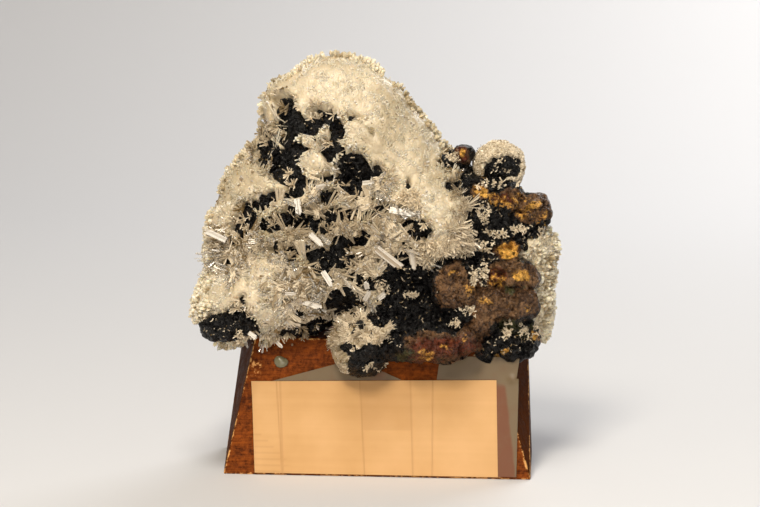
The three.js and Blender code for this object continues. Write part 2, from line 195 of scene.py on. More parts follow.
def new_mesh(
    name: str,
    points: ndarray,
    faces: list[ndarray],
    is_smooth: bool = True,
    **attributes: ndarray,
) -> Mesh:
    """A mesh from arrays.

    Args:
        name: The mesh's name.
        points: Places in mm, one row each.
        faces: Arrays of corner numbers, each array with one count of corners.
        is_smooth: Whether its faces are shaded smooth.
        attributes: Numbers for its material to read, one for each point.

    Returns:
        The mesh, in metres.
    """
    mesh = bpy.data.meshes.new(name)
    mesh.vertices.add(len(points))
    mesh.vertices.foreach_set("co", (points * MM).astype(np.float32).ravel())
    corners = np.concatenate([group.ravel() for group in faces]).astype(np.int32)
    counts = np.concatenate([np.full(len(group), group.shape[1]) for group in faces])
    starts = np.concatenate([[0], np.cumsum(counts)[:-1]])
    mesh.loops.add(len(corners))
    mesh.loops.foreach_set("vertex_index", corners)
    mesh.polygons.add(len(counts))
    mesh.polygons.foreach_set("loop_start", starts.astype(np.int32))
    mesh.update(calc_edges=True)
    mesh.validate()
    shade(mesh, is_smooth)
    for attribute, values in attributes.items():
        write_attribute(mesh, attribute, values)
    return mesh


def shade(mesh: Mesh, is_smooth: bool) -> None:
    """Shades every face smooth or flat."""
    mesh.polygons.foreach_set("use_smooth", np.full(len(mesh.polygons), is_smooth))
    mesh.update()


def grid_faces(rows: int, columns: int) -> ndarray:
    """Quads between the points of a grid, which are numbered row by row."""
    number = np.arange(rows * columns).reshape(rows, columns)
    corners = [number[:-1, :-1], number[1:, :-1], number[1:, 1:], number[:-1, 1:]]
    return np.stack(corners, axis=-1).reshape(-1, 4)


def write_attribute(mesh: Mesh, name: str, values: ndarray) -> None:
    """Stores one number for each point of a mesh, for its material to read."""
    layer = mesh.attributes.new(name, "FLOAT", "POINT")
    layer.data.foreach_set("value", values.astype(np.float32))


def add_piece(mesh: Mesh, material: Material, stands_for: tuple[str, ...] = ()) -> Object:
    """Puts a mesh into the scene as a piece of the object.

    Args:
        mesh: The finished mesh, whose name the piece takes.
        material: What it is made of.
        stands_for: The nodes of the frame that it is shown in place of.

    Returns:
        The new object, which rides on the root body.
    """
    piece = bpy.data.objects.new(mesh.name, mesh)
    bpy.context.scene.collection.objects.link(piece)
    mesh.materials.clear()
    mesh.materials.append(material)
    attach(piece, "root")
    if stands_for:
        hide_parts(*stands_for)
    LOG.info("%s: %d faces", mesh.name, len(mesh.polygons))
    return piece


# Materials


def linear(code: str) -> tuple[float, float, float, float]:
    """The linear colour of an sRGB hex code such as "e8d6ae"."""
    parts = np.array([int(code[k : k + 2], 16) for k in (0, 2, 4)]) / 255.0
    low = parts / 12.92
    high = ((parts + 0.055) / 1.055) ** 2.4
    red, green, blue = np.where(parts <= 0.04045, low, high)
    return (float(red), float(green), float(blue), 1.0)


def add_node(
    tree: NodeTree,
    kind: str,
    values: dict[str | int, object] | None = None,
    output: str | int = 0,
    **properties: str | bool,
) -> NodeSocket | None:
    """Adds one node with its settings and links.

    Args:
        tree: The material's node tree.
        kind: The node's type, without the word ShaderNode.
        values: Its inputs by name or number: a plain value, or the output that feeds it.
        output: Name or number of the output that is wanted.
        properties: The node's settings that are not inputs.

    Returns:
        The wanted output, or None from a node without outputs.
    """
    node = tree.nodes.new("ShaderNode" + kind)
    for name, value in properties.items():
        setattr(node, name, value)
    for key, value in (values or {}).items():
        if isinstance(value, NodeSocket):
            tree.links.new(node.inputs[key], value)
        else:
            node.inputs[key].default_value = value
    return node.outputs[output] if node.outputs else None


def new_material(name: str) -> tuple[Material, AddNode]:
    """An empty node material, and the function that adds a node to it."""
    material = bpy.data.materials.new(name)
    material.use_nodes = True
    material.node_tree.nodes.clear()
    return material, partial(add_node, material.node_tree)


# The specimen's form


@dataclass(frozen=True)
class ViewPlane:
    """The plane that the specimen's places are read in.

    It is square to a view from rise_deg above the horizontal: u runs right, v runs up,
    and y is the depth behind the specimen's middle.
    """

    rise_deg: float = 9.0
    distance: float = 850.0
    height: float = 56.2
    side: float = 0.6
    turn_deg: float = 5.0
    back: float = 1.5

    def turning(self) -> tuple[float, float]:
        """Cosine and sine of the specimen's turn on its block."""
        turn = math.radians(self.turn_deg)
        return math.cos(turn), math.sin(turn)

    def to_block(self, plane: ndarray) -> ndarray:
        """Rows of u, y, v in the block's frame: sizes grow with depth, then lean, turn, shift."""
        u, y, v = plane.T
        c, s = self.turning()
        near = 1.0 + y / self.distance
        z = self.height + (v - self.height) * near - y * math.tan(math.radians(self.rise_deg))
        return np.stack([u * near * c - y * s, u * near * s + y * c + self.back, z], axis=-1)

    def from_block(self, points: ndarray) -> ndarray:
        """The opposite of to_block."""
        c, s = self.turning()
        x = points[:, 0] * c + (points[:, 1] - self.back) * s
        y = -points[:, 0] * s + (points[:, 1] - self.back) * c
        near = 1.0 + y / self.distance
        level = points[:, 2] + y * math.tan(math.radians(self.rise_deg)) - self.height
        return np.stack([x / near, y, self.height + level / near], axis=-1)


VIEW = ViewPlane()

# Outline of the specimen without its knob, clockwise from the left tip: (u, v)
OUTLINE = (
    (-49.5, 39), (-49, 44), (-47, 48.5), (-45.5, 52.5), (-46, 56), (-45.5, 64.5), (-43, 70.5),
    (-41, 76.5), (-37.5, 81), (-34, 86.5), (-30.5, 92), (-30.5, 98), (-28.5, 102.5), (-23, 104),
    (-18, 108), (-11.5, 109.5), (-2, 107.5), (2.5, 103.5), (6, 101), (9, 96), (13.5, 91.5),
    (16.5, 86.5), (20.5, 84), (25, 79.5), (31, 76), (38, 75.5), (41.5, 69.5), (45.5, 64.5),
    (48.5, 57), (47, 54), (46.5, 46.5), (46.5, 40), (45, 33), (39.5, 30), (33.5, 28.5), (24, 28),
    (16.5, 28), (7, 30), (0, 32), (-7, 33), (-13.5, 35), (-20.5, 31.5), (-28.5, 30.5),
    (-36.5, 32.5), (-40.5, 30.5), (-45.5, 33.5),
)

# Swellings (rise above 0) and hollows of the front and of the back: (u, v, radius, rise)
FRONT_RELIEF = (
    (-36, 42, 11, 3.5), (-30, 62, 10, 1.5), (-9, 92, 15, 2.5), (6, 78, 10, 1.5),
    (16.5, 66.5, 7.5, 5), (-7, 77, 5, -2.5), (11, 46, 8, -6), (-14, 37, 5, -8),
    (-20, 50, 8, 2), (4, 56, 6, 2), (37, 64, 6, -2), (27, 58, 5, -2),
)
BACK_RELIEF = (
    (-22, 58, 10, 3), (14, 60, 9, 2.5), (-6, 86, 8, 2), (-3, 47, 8, -3.5),
    (32, 48, 8, 2.5), (-34, 42, 7, 2.5),
)

# Rounded lumps of rock: (u, y, v) and the three radii
ROCK_LUMPS = (
    ((20.2, -19, 47.4), (5.8, 5, 6.4)),
    ((35.6, -15, 50.4), (7, 5, 4)), ((33, -16, 42.4), (9.4, 6, 4.6)), ((25.5, -16, 40), (7, 6, 6)),
    ((15, -18, 32.4), (11, 7, 5.4)), ((34, -11, 33.2), (8.5, 7, 6)), ((4.6, -15, 33.5), (6, 6, 6)),
    ((32, -6, 70.5), (6.4, 7, 5)), ((39.5, -5, 67.5), (6, 7, 4.4)), ((27.4, -9, 73), (3.4, 4, 3)),
    ((34.1, -10.5, 57), (3, 4, 2.8)), ((-40, -15, 36.5), (6.6, 4.6, 3.8)),
    ((22.4, -3, 82.4), (2.6, 4, 2.4)),
)


@dataclass(frozen=True)
class Nodule:
    """A ball of rock in a shell of crystals, with windows where the rock shows.

    Attributes:
        name: What its shell is called.
        middle: Its middle as (u, y, v).
        core: Radii of the rock.
        shell: Radii of the shell.
        windows: Bare places of its front: (u, v, half width, half height).
        clumps: Places of loose crystals in its windows, in the same way.
        low: Height under which its front is bare.
        back_low: Height under which its back is bare.
        blunt_count: How many fans of blunt crystals stand on it.
        flat_count: How many flat fans lie on it.
        dense: Where the flat fans lie: (u, v, half width, half height).
        tone: Tone of its shell.
    """

    name: str
    middle: Triple
    core: Triple
    shell: Triple
    windows: Places
    clumps: Places
    low: float
    back_low: float
    blunt_count: int
    flat_count: int
    dense: Places
    tone: float


KNOB = Nodule(
    "knob_shell", (32.0, -2.0, 79.3), (5.4, 5.4, 5.4), (6.8, 6.4, 6.5),
    ((33.0, 79.2, 5.2, 3.5), (31.5, 76.2, 3.0, 1.2), (28.2, 76.6, 1.2, 1.4)),
    ((33.8, 79.4, 3.4, 2.2), (32.0, 75.4, 3.0, 0.8)), 72.6, 73.8, 520, 10,
    ((28.0, 80.0, 3.0, 4.0),), 0.45,
)
LOBE = Nodule(
    "lobe_shell", (-3.6, -16.4, 32.0), (7.6, 7.6, 8.5), (8.8, 8.8, 8.7),
    ((-8.3, 30.6, 2.6, 1.8), (-1.0, 26.8, 7.0, 4.8), (4.8, 31.0, 3.6, 5.0), (-3.5, 22.0, 6.0, 3.0),
     (0.4, 39.2, 3.0, 2.6)),
    ((0.0, 25.8, 3.2, 1.0), (3.4, 34.4, 1.8, 1.8), (-6.6, 29.6, 0.7, 1.6)), 0.0, 37.0, 260, 260,
    ((-5.4, 36.8, 7.6, 5.0), (-10.6, 34.0, 2.0, 2.4), (2.0, 34.0, 3.0, 3.0)), -0.4,
)

# From here on, places are ellipses in the view: (u, v, half width, half height)

# Whitest crystals of the knob
WHITE_CAP = (37.5, 75.3, 2.2, 3.2)

# Windows where black oxide shows between the crystals
BLACK_WINDOWS = (
    (-24.3, 95.4, 2.3, 2.9), (-22.1, 91.4, 2.2, 2.2), (-18.9, 90, 2.9, 2), (-24.8, 87.8, 2.6, 1.1),
    (-14.4, 93.1, 3.2, 1.9), (-16.7, 91.4, 1.6, 1.3), (-31, 85, 2.2, 4.6), (-31.4, 82.8, 1.4, 1.8),
    (-24.0, 82.8, 2.8, 2.5), (-24.6, 78.2, 3.2, 2.2), (-21.8, 74.4, 2.6, 2.8), (-12.6, 84.9, 2.4, 1.9),
    (-10.6, 88.6, 1.8, 1.8), (-6.6, 79.2, 3, 3.6), (-7.6, 76.4, 3, 2.9), (-13, 71.8, 2.6, 1.4),
    (-19.2, 84.3, 1.5, 0.9), (-12.6, 82, 0.9, 1.2), (-28.6, 71.8, 1.8, 1), (-31.2, 70.2, 2, 1.2),
    (-2, 78.2, 2.6, 1.3), (-5.4, 72.9, 2, 1.8), (8, 74.3, 1, 1.3), (-35.4, 65.4, 2.4, 3.4),
    (-31.2, 69.4, 1.6, 1.2), (-28.6, 64, 2.4, 1.6), (-36.2, 68, 1.4, 1.8), (-23.4, 66, 1.8, 1.8),
    (-11.6, 66.8, 2.8, 1.4), (-6.6, 66.4, 2.2, 1.4), (-3, 66.9, 1.8, 1.2), (1.9, 68.6, 1.6, 0.9),
    (-14.6, 63.8, 2.6, 1.6), (-8.6, 59.4, 2.8, 1.4), (-4.4, 60, 1.8, 1.7), (-11, 55.2, 2.4, 2.2),
    (-15.2, 54.6, 3.4, 2.2), (-18.6, 57.8, 2.2, 0.9), (-26.6, 57.4, 2.4, 1.3), (-23, 55.2, 1.2, 1.5),
    (-38.5, 58.9, 1.8, 1.1), (-40.1, 54.2, 1.2, 1), (-7, 51.8, 1.5, 2.4), (-36.9, 42.4, 1.3, 1.6),
    (-41.6, 36.4, 4.8, 2.8), (-37, 38, 3, 2.2), (-33.4, 34.8, 2.2, 2.2), (-10.8, 43.8, 2.7, 2.4),
    (-7.6, 43.4, 3, 2.6), (-9.4, 40.4, 2.2, 1.4), (10.2, 63.4, 2.8, 1.7), (12.4, 61.4, 2, 1.5),
    (7.2, 56.8, 1.3, 3), (18.7, 82.5, 1.6, 2.8), (-14.8, 35.6, 4, 2.8), (-2.2, 47.9, 2.8, 1.1),
    (-27, 90.4, 0.6, 2.2), (19.6, 74.6, 1.4, 1.2), (-23.4, 72.2, 1.4, 1.5), (-21, 33.6, 5, 2.2),
    (-6.6, 92.6, 1.3, 1),
)

# Bare rock of the lower right
BARE_GROUND = (
    (8, 47.6, 8.4, 5.8), (8, 39.5, 9, 6), (20, 53.4, 5, 2), (21.4, 46.8, 7, 6),
    (26.3, 54.4, 6, 2.6), (34.8, 50, 8, 5),
    (5.2, 51.2, 3.8, 2.6), (38, 60, 5, 3.4), (21, 82.6, 4, 2.6), (25, 76.5, 3, 5),
    (33, 42, 9, 6), (22, 38, 12, 6), (20, 31, 18, 6), (36, 32, 9, 6), (24.5, 77.9, 2.4, 3.6),
    (25, 73.3, 3.4, 3), (31, 65, 5.6, 3.6), (36.9, 62.5, 7, 4), (41, 59.5, 4, 2.6),
    (33, 71.5, 7, 4.4), (40, 68, 6, 4), (34.4, 57, 3.4, 3), (29, 60, 3.4, 2.4), (24, 82, 4, 3),
    (28.4, 66, 4.6, 6.4),
)
RIGHT_CRUST = ((46.5, 51.5, 8, 9.5), (46.8, 41, 7.2, 9))

# Where the crust ends in thick blunt crystals
BLUNT_GROUND = RIGHT_CRUST + ((-38, 31.5, 9, 3), (-45.5, 40, 3, 9))

# Windows with no crystals in them
OPEN_WINDOWS = ((-7.5, 79, 3.6, 4.8), (-41, 36.5, 4, 2.6), (-10.8, 43.8, 3, 2.4))

# Colours of the bare rock
BROWN_GROUND = (
    (20.4, 47.2, 5, 6.6), (36, 50.2, 7.4, 4), (33.6, 42.6, 10, 4.4), (26.4, 38.6, 4.4, 4),
    (16.5, 31.2, 10, 4.4), (40.2, 67.3, 4.8, 3.2), (35.2, 70.8, 4.6, 2.4), (22.2, 82.5, 2.6, 2.4),
    (27, 73.2, 2.6, 2.4), (34.1, 56.6, 3.4, 2.6), (11, 29.5, 3, 2.6), (29, 45.5, 6, 4),
    (41, 45, 3, 4), (25.5, 33.5, 5, 4), (43, 69.5, 5, 4.4), (24.6, 44, 3, 4),
)
BLACK_GAPS = (
    (21.4, 39.4, 4, 2.4), (25.6, 50.6, 1.2, 3.2), (28.4, 50.6, 1.2, 3), (37, 33, 6, 3.8),
    (9.5, 40, 6, 4.4), (17.5, 37, 5, 1.6), (30.5, 32, 3, 2),
)
OCHRE_SPOTS = (
    (27.4, 73.2, 2.6, 2.4), (31, 70.6, 3.4, 1.8), (31.5, 49, 2.6, 2), (42.6, 64.3, 1.6, 0.9),
    (38.5, 66.8, 3.4, 1.6), (34.5, 69.4, 3, 1.4), (39, 34.5, 1, 0.8), (24, 47, 2, 2),
    (14, 28.6, 2.4, 1.4), (41.8, 34, 1.2, 1.4), (12, 30, 1.6, 0.8), (18, 31, 1.4, 0.8),
    (23, 33, 1, 0.8), (41.4, 69, 3, 1), (38, 71.4, 2.6, 1), (44, 66.5, 1.6, 1.4),
    (29, 44, 2, 0.8), (40, 41, 1.6, 1), (20, 50.5, 2, 0.7),
)
BRIGHT_OCHRE = (
    (34.1, 56.8, 2.4, 2.1), (37.8, 50.2, 1.7, 1.5), (33.4, 29.8, 1.1, 0.8), (22.6, 83.2, 1, 0.7),
    (28, 72.6, 1, 1), (26.4, 74.2, 0.7, 0.7),
)
RED_GROUND = (
    (31.5, 49.6, 3, 2), (12.8, 28.8, 5, 3), (22.3, 82.6, 2.4, 2), (18, 31, 9, 3.6),
    (33, 70.6, 4, 1.6),
)
GREEN_SPOTS = (
    (35.4, 46, 2.4, 1.3), (35, 37, 3, 2.4), (38.5, 35, 2.4, 2), (8, 29, 3, 1.4), (42, 37, 1.6, 1.6),
)

# Clumps of small white crystals on the bare rock
WHITE_CLUMPS = (
    (-4.0, 44.6, 2.2, 3.6), (1.2, 46.6, 1.4, 1.8), (8.8, 45, 2.2, 0.9), (25.4, 50.4, 0.8, 2.8),
    (28.2, 50.4, 0.9, 2.8), (24.1, 41.1, 2, 1.5), (20.2, 37.4, 1.8, 1), (34.2, 35.5, 1.2, 2.4),
    (30, 74.8, 4.5, 1.2), (37, 62.6, 2.4, 0.8), (44, 62, 1.6, 1.6), (31, 61.5, 4, 0.8),
    (28, 66.5, 2, 2.4), (22, 56, 4, 1.2), (12, 55, 5, 1), (39.5, 35.5, 2.6, 2), (20, 81.5, 1.6, 2),
    (27, 58, 2.6, 1.6), (-36.4, 34, 1.4, 1.6), (-36.4, 42.4, 2.2, 1.2),
)

# Places that the crust's crystals radiate from, most of them windows: (u, v)
FAN_CENTRES = (
    (-32, 73), (-37, 62), (-38, 41), (-14, 85), (-23, 90), (0, 76), (17, 67.5), (-19, 37),
    (-8, 58), (-22, 52), (41, 46), (-29, 83), (31, 78),
)

# How coarse the crystals are
COARSE_GROUND = (
    (-14, 63, 19, 9), (-8, 52, 13, 8), (-20, 46, 9, 6), (4, 60, 9, 8), (-8, 74, 11, 5),
    (-16, 39, 9, 6), (-3.6, 38, 8, 5), (-39, 57, 5, 7),
)

# Where the big sheaf ends in a fringe of needles
SHEAF_GROUND = ((22.8, 68, 3.2, 6), (22, 60, 5, 4.5), (14.5, 56.5, 6, 2.6))

# Where the crust is rugged, of larger light and dark crystals
RUGGED_GROUND = (
    (-38, 72, 7, 14), (-27, 96, 6, 8), (46.5, 47, 6, 17), (21, 84, 5, 10), (9, 97, 8, 8),
    (-40, 57, 7, 9), (-4, 90, 6, 4), (-33, 36, 10, 6), (-24, 46, 9, 7),
)

# Where white fans lie like snow
SNOW_GROUND = ((14.5, 57, 5.5, 2.6), (22, 59.5, 4, 2.4), (12, 50.5, 2, 1.4), (9, 70.4, 3.4, 1.6))

# Painted shade: places where the crust's tone is made darker and browner
PAINTED_SHADE_GROUND = (
    (-39, 75, 6, 8), (-33, 82, 6, 10), (18, 90, 9, 7), (6, 95, 6, 7), (0.5, 86, 5, 5),
    (-28.5, 96, 5, 8),
    (-14, 60, 20, 10), (-18, 35, 10, 4), (-8, 108, 14, 2.5), (20, 78, 8, 10), (14, 94, 8, 9),
    (-11, 30, 4, 6),
)


def ellipse_share(plane: ndarray, places: Places, edge: float = 0.35) -> ndarray:
    """Most that any ellipse covers each place: 1 well inside, 0 outside.

    Args:
        plane: Rows of u, y, v.
        places: Ellipses as middle u and v, half width and half height.
        edge: Width of the soft edge, as a share of the ellipse.

    Returns:
        One share for each place.
    """
    u, _, v = plane.T
    total = np.zeros(len(plane))
    for middle_u, middle_v, half_width, half_height in places:
        away = np.hypot((u - middle_u) / half_width, (v - middle_v) / half_height)
        total = np.maximum(total, smooth((1.0 + edge / 2 - away) / edge))
    return total


def ragged(
    plane: ndarray, points: ndarray, size: float, shift: float, seeds: tuple[int, int]
) -> ndarray:
    """Places moved across and up by noise, so that zones get ragged edges.

    Args:
        plane: Rows of u, y, v.
        points: Where the noise is read for each row.
        size: Size of the noise, in mm.
        shift: Most that a place moves, in mm.
        seeds: Seeds of the noise across and of the noise up.

    Returns:
        The moved rows.
    """
    moved = plane.copy()
    for column, seed in zip((0, 2), seeds):
        moved[:, column] += shift * rough_noise(points, size, seed, 4)
    return moved


def scaled(places: Places, size: float) -> ndarray:
    """The same ellipses with both half widths times size."""
    return np.array(places) * np.array([1.0, 1.0, size, size])


def unevenness(u: ndarray, y: ndarray, v: ndarray) -> ndarray:
    """The broad swell of a broken surface: two products of sines, about -1 to 1."""
    first = np.sin(0.55 * u + 0.31 * v) * np.cos(0.47 * v - 0.28 * y)
    return 0.5 * first + 0.5 * np.sin(0.93 * v + 0.71 * y + 1.3) * np.cos(0.81 * u - 0.4)


@dataclass
class SpecimenSkin:
    """The specimen's outer form: a pillow whose front view is the outline."""

    centre: tuple[float, float] = (2.0, 60.0)
    rim_inset: float = 0.9
    front_depth: tuple[float, float] = (23.0, 13.0)
    back_depth: tuple[float, float] = (20.0, 12.0)
    round_power: float = 0.75
    flat_power: float = 0.8
    foot_level: float = 30.0
    tall: float = 78.0
    crust_thick: float = 3.8
    window_depth: float = 2.0
    angles: ndarray = field(init=False)
    radii: ndarray = field(init=False)

    def __post_init__(self) -> None:
        """Sorts the outline's corners by their angle about the centre."""
        corners = np.array(OUTLINE, dtype=float) - np.array(self.centre)
        angles = np.arctan2(corners[:, 1], corners[:, 0])
        order = np.argsort(angles)
        self.angles = angles[order]
        self.radii = np.hypot(corners[:, 0], corners[:, 1])[order]

    def reach(self, angle: ndarray) -> ndarray:
        """Radius of the outline at each angle, straight from one corner to the next."""
        return np.interp(angle, self.angles, self.radii, period=2.0 * math.pi)

    def place(self, direction: ndarray, inset: ndarray | float) -> ndarray:
        """Places on the pillow, sunk inwards.

        The distance from the centre is the outline's radius times the sine of the tilt
        to round_power, and the depth is the local depth times its cosine to flat_power,
        plus the relief of that side.

        Args:
            direction: Unit rows (right, back, up) that choose the place.
            inset: How far to sink each, in mm.

        Returns:
            Rows of u, y, v.
        """
        angle = np.arctan2(direction[:, 2], direction[:, 0])
        out = np.hypot(direction[:, 0], direction[:, 2]) ** self.round_power
        flat = np.sign(direction[:, 1]) * np.abs(direction[:, 1]) ** self.flat_power
        radius = self.reach(angle) - self.rim_inset
        u = self.centre[0] + radius * out * np.cos(angle)
        v = self.centre[1] + radius * out * np.sin(angle)
        height = np.clip((v - self.foot_level) / self.tall, 0.0, 1.0)
        is_front = direction[:, 1] < 0
        depth = np.where(is_front, mix(*self.front_depth, height), mix(*self.back_depth, height))
        relief = np.zeros_like(u)
        for places, side in ((FRONT_RELIEF, is_front), (BACK_RELIEF, ~is_front)):
            for middle_u, middle_v, radius_mm, rise in places:
                away = ((u - middle_u) ** 2 + (v - middle_v) ** 2) / radius_mm**2
                relief += np.where(side, rise * np.exp(-away), 0.0)
        facing = np.sign(direction[:, 1]) * smooth(np.abs(direction[:, 1]) * 2.2)
        uneven = np.where(is_front, 0.8, 1.6) * flat * unevenness(u, depth * flat, v)
        return np.stack(
            [
                u - inset * out * np.cos(angle),
                (depth - inset) * flat + facing * relief + uneven,
                v - inset * out * np.sin(angle),
            ],
            axis=-1,
        )

    def even_tilts(self, rows: int) -> ndarray:
        """Tilts from front to back whose rings lie evenly along the pillow's profile."""
        tilt = np.linspace(0.0, math.pi, 4001)
        out = 42.0 * np.sin(tilt) ** self.round_power
        flat = 18.0 * np.sign(np.cos(tilt)) * np.abs(np.cos(tilt)) ** self.flat_power
        run = np.concatenate([[0.0], np.cumsum(np.hypot(np.diff(out), np.diff(flat)))])
        return np.interp(np.linspace(0.0, run[-1], rows + 2)[1:-1], run, tilt)

    def crust_share(self, plane: ndarray, room: float = 1.0) -> ndarray:
        """Share of crystal crust over each place of the skin, with ragged edges.

        Args:
            plane: Rows of u, y, v.
            room: Size of the bare places, where 1 is their own size.

        Returns:
            1 where crystals cover the rock, 0 where it is bare.
        """
        moved = ragged(plane, plane, 2.6, 1.8, (3, 17))
        u, y, v = moved.T
        windows = ellipse_share(moved, scaled(BLACK_WINDOWS, 1.28 * room), 0.3)
        gaps = smooth((0.1 * room - 0.24 - rough_noise(plane, 2.2, 63)) / 0.1)
        windows = np.maximum(windows, gaps * smooth(2.0 * coarse_share(plane) - 0.6))
        ground = ellipse_share(moved, scaled(BARE_GROUND, math.sqrt(room)), 0.2)
        front = (1.0 - windows) * (1.0 - ground)
        right = ellipse_share(moved, RIGHT_CRUST, 0.2)
        left_edge = 42.0 - 1.7 * np.clip(v - 52.8, 0.0, 3.5) - 1.6 * smooth((40.5 - v) / 2.0)
        right *= smooth((u - left_edge) / 0.8 + 0.5) * smooth((8.0 - y) / 3.0)
        wrap = 7.0 + 4.0 * rough_noise(plane, 9.0, 31)
        behind = smooth((v - 36.0) / 4.0) * smooth((22.0 - u) / 4.0) * smooth((wrap - y) / 1.5)
        side = smooth((y + 1.0) / 2.0)
        return np.maximum(mix(front, behind, side), right)

    def sheet(self, rows: int, columns: int, rule: "SkinRule") -> Sheet:
        """A closed surface over the whole specimen.

        Args:
            rows: Rings between the front pole and the back pole.
            columns: Points in a ring.
            rule: What the surface is, which sets how deep it lies.

        Returns:
            The surface.
        """
        direction = ball_directions(self.even_tilts(rows), columns)
        face = self.place(direction, 0.0)
        share = self.crust_share(face, 1.2 if rule is SkinRule.CRUST else 1.0)
        if rule is SkinRule.ROCK:
            inset = mix(self.window_depth, self.crust_thick, share)
            inset = inset - self.window_depth * ellipse_share(face, BARE_GROUND)
        elif rule is SkinRule.CRUST:
            inset = mix(0.25, 2.6, coarse_share(face))
            inset = inset + 0.5 * smooth((0.35 - np.abs(direction[:, 1])) / 0.3)
            inset = mix(self.crust_thick + 3.5, inset, share)
        else:
            inset = 0.0
        plane = self.place(direction, inset)
        return Sheet(VIEW.to_block(plane), plane, ball_faces(rows, columns))


class SkinRule(Enum):
    """Which surface of the specimen is wanted."""

    ROCK = "rock, under the crust"
    CRUST = "crust, sunk where rock shows"
    OUTER = "outermost skin"


def coarse_share(plane: ndarray) -> ndarray:
    """Share of coarse, open crystals at each place (rows of u, y, v)."""
    share = ellipse_share(plane, COARSE_GROUND, 0.8)
    return share * smooth((-2.0 - plane[:, 1]) / 4.0)


def painted_shade_share(plane: ndarray) -> ndarray:
    """Share of painted shade, a darker and browner tone, in the crust at each place (rows of u, y, v).
    """
    share = ellipse_share(plane, PAINTED_SHADE_GROUND, 0.9)
    return share * (0.75 + 0.25 * rough_noise(plane, 4.0, 97))


def rim_patches(points: ndarray) -> ndarray:
    """Share of the rim's coarse teeth and lumps, which stand in patches of about 9 mm."""
    return smooth(0.6 + 1.6 * rough_noise(points, 9.0, 91))


def ball_directions(tilts: ndarray, columns: int) -> ndarray:
    """Unit rows (right, back, up) of rings about the depth axis, then the two poles."""
    around = np.arange(columns) * (2.0 * math.pi / columns)
    tilt, turn = np.meshgrid(tilts, around, indexing="ij")
    ring = [np.sin(tilt) * np.cos(turn), -np.cos(tilt), np.sin(tilt) * np.sin(turn)]
    poles = [[1e-6, -1.0, 0.0], [1e-6, 1.0, 0.0]]
    return np.vstack([np.stack(ring, axis=-1).reshape(-1, 3), poles])


def ball_faces(rows: int, columns: int) -> list[ndarray]:
    """Faces of rings of points closed by a front pole and a back pole, facing outwards."""
    number = np.arange(rows * columns).reshape(rows, columns)
    after = np.roll(number, -1, axis=1)
    quads = np.stack([number[:-1], number[1:], after[1:], after[:-1]], axis=-1).reshape(-1, 4)
    front = np.stack([np.full(columns, rows * columns), number[0], after[0]], axis=-1)
    back = np.stack([np.full(columns, rows * columns + 1), after[-1], number[-1]], axis=-1)
    return [quads, np.vstack([front, back])]


def ball(middle: Triple, radii: Triple, rows: int, seed: int, boxy: float = 1.0) -> Sheet:
    """An uneven ball in the view's plane.

    Each part of its direction is raised to a power, which squares the ball off, and each
    radius swells by noise of 6 mm grain.

    Args:
        middle: Its middle as (u, y, v).
        radii: Its radii.
        rows: Rings between its poles.
        seed: Changes the noise.
        boxy: The power: 1 is round, less is squarer.

    Returns:
        The ball.
    """
    columns = 2 * rows
    direction = ball_directions(np.linspace(0.0, math.pi, rows + 2)[1:-1], columns)
    direction = np.sign(direction) * np.abs(direction) ** boxy
    points = direction * np.array(radii) + np.array(middle)
    swell = 1.0 + 0.12 * rough_noise(points, 6.0, seed) + 0.06 * rough_noise(points, 2.2, seed)
    plane = np.array(middle) + direction * np.array(radii) * swell[:, None]
    return Sheet(VIEW.to_block(plane), plane, ball_faces(rows, columns))


# The block's form, which the specimen leaves room for


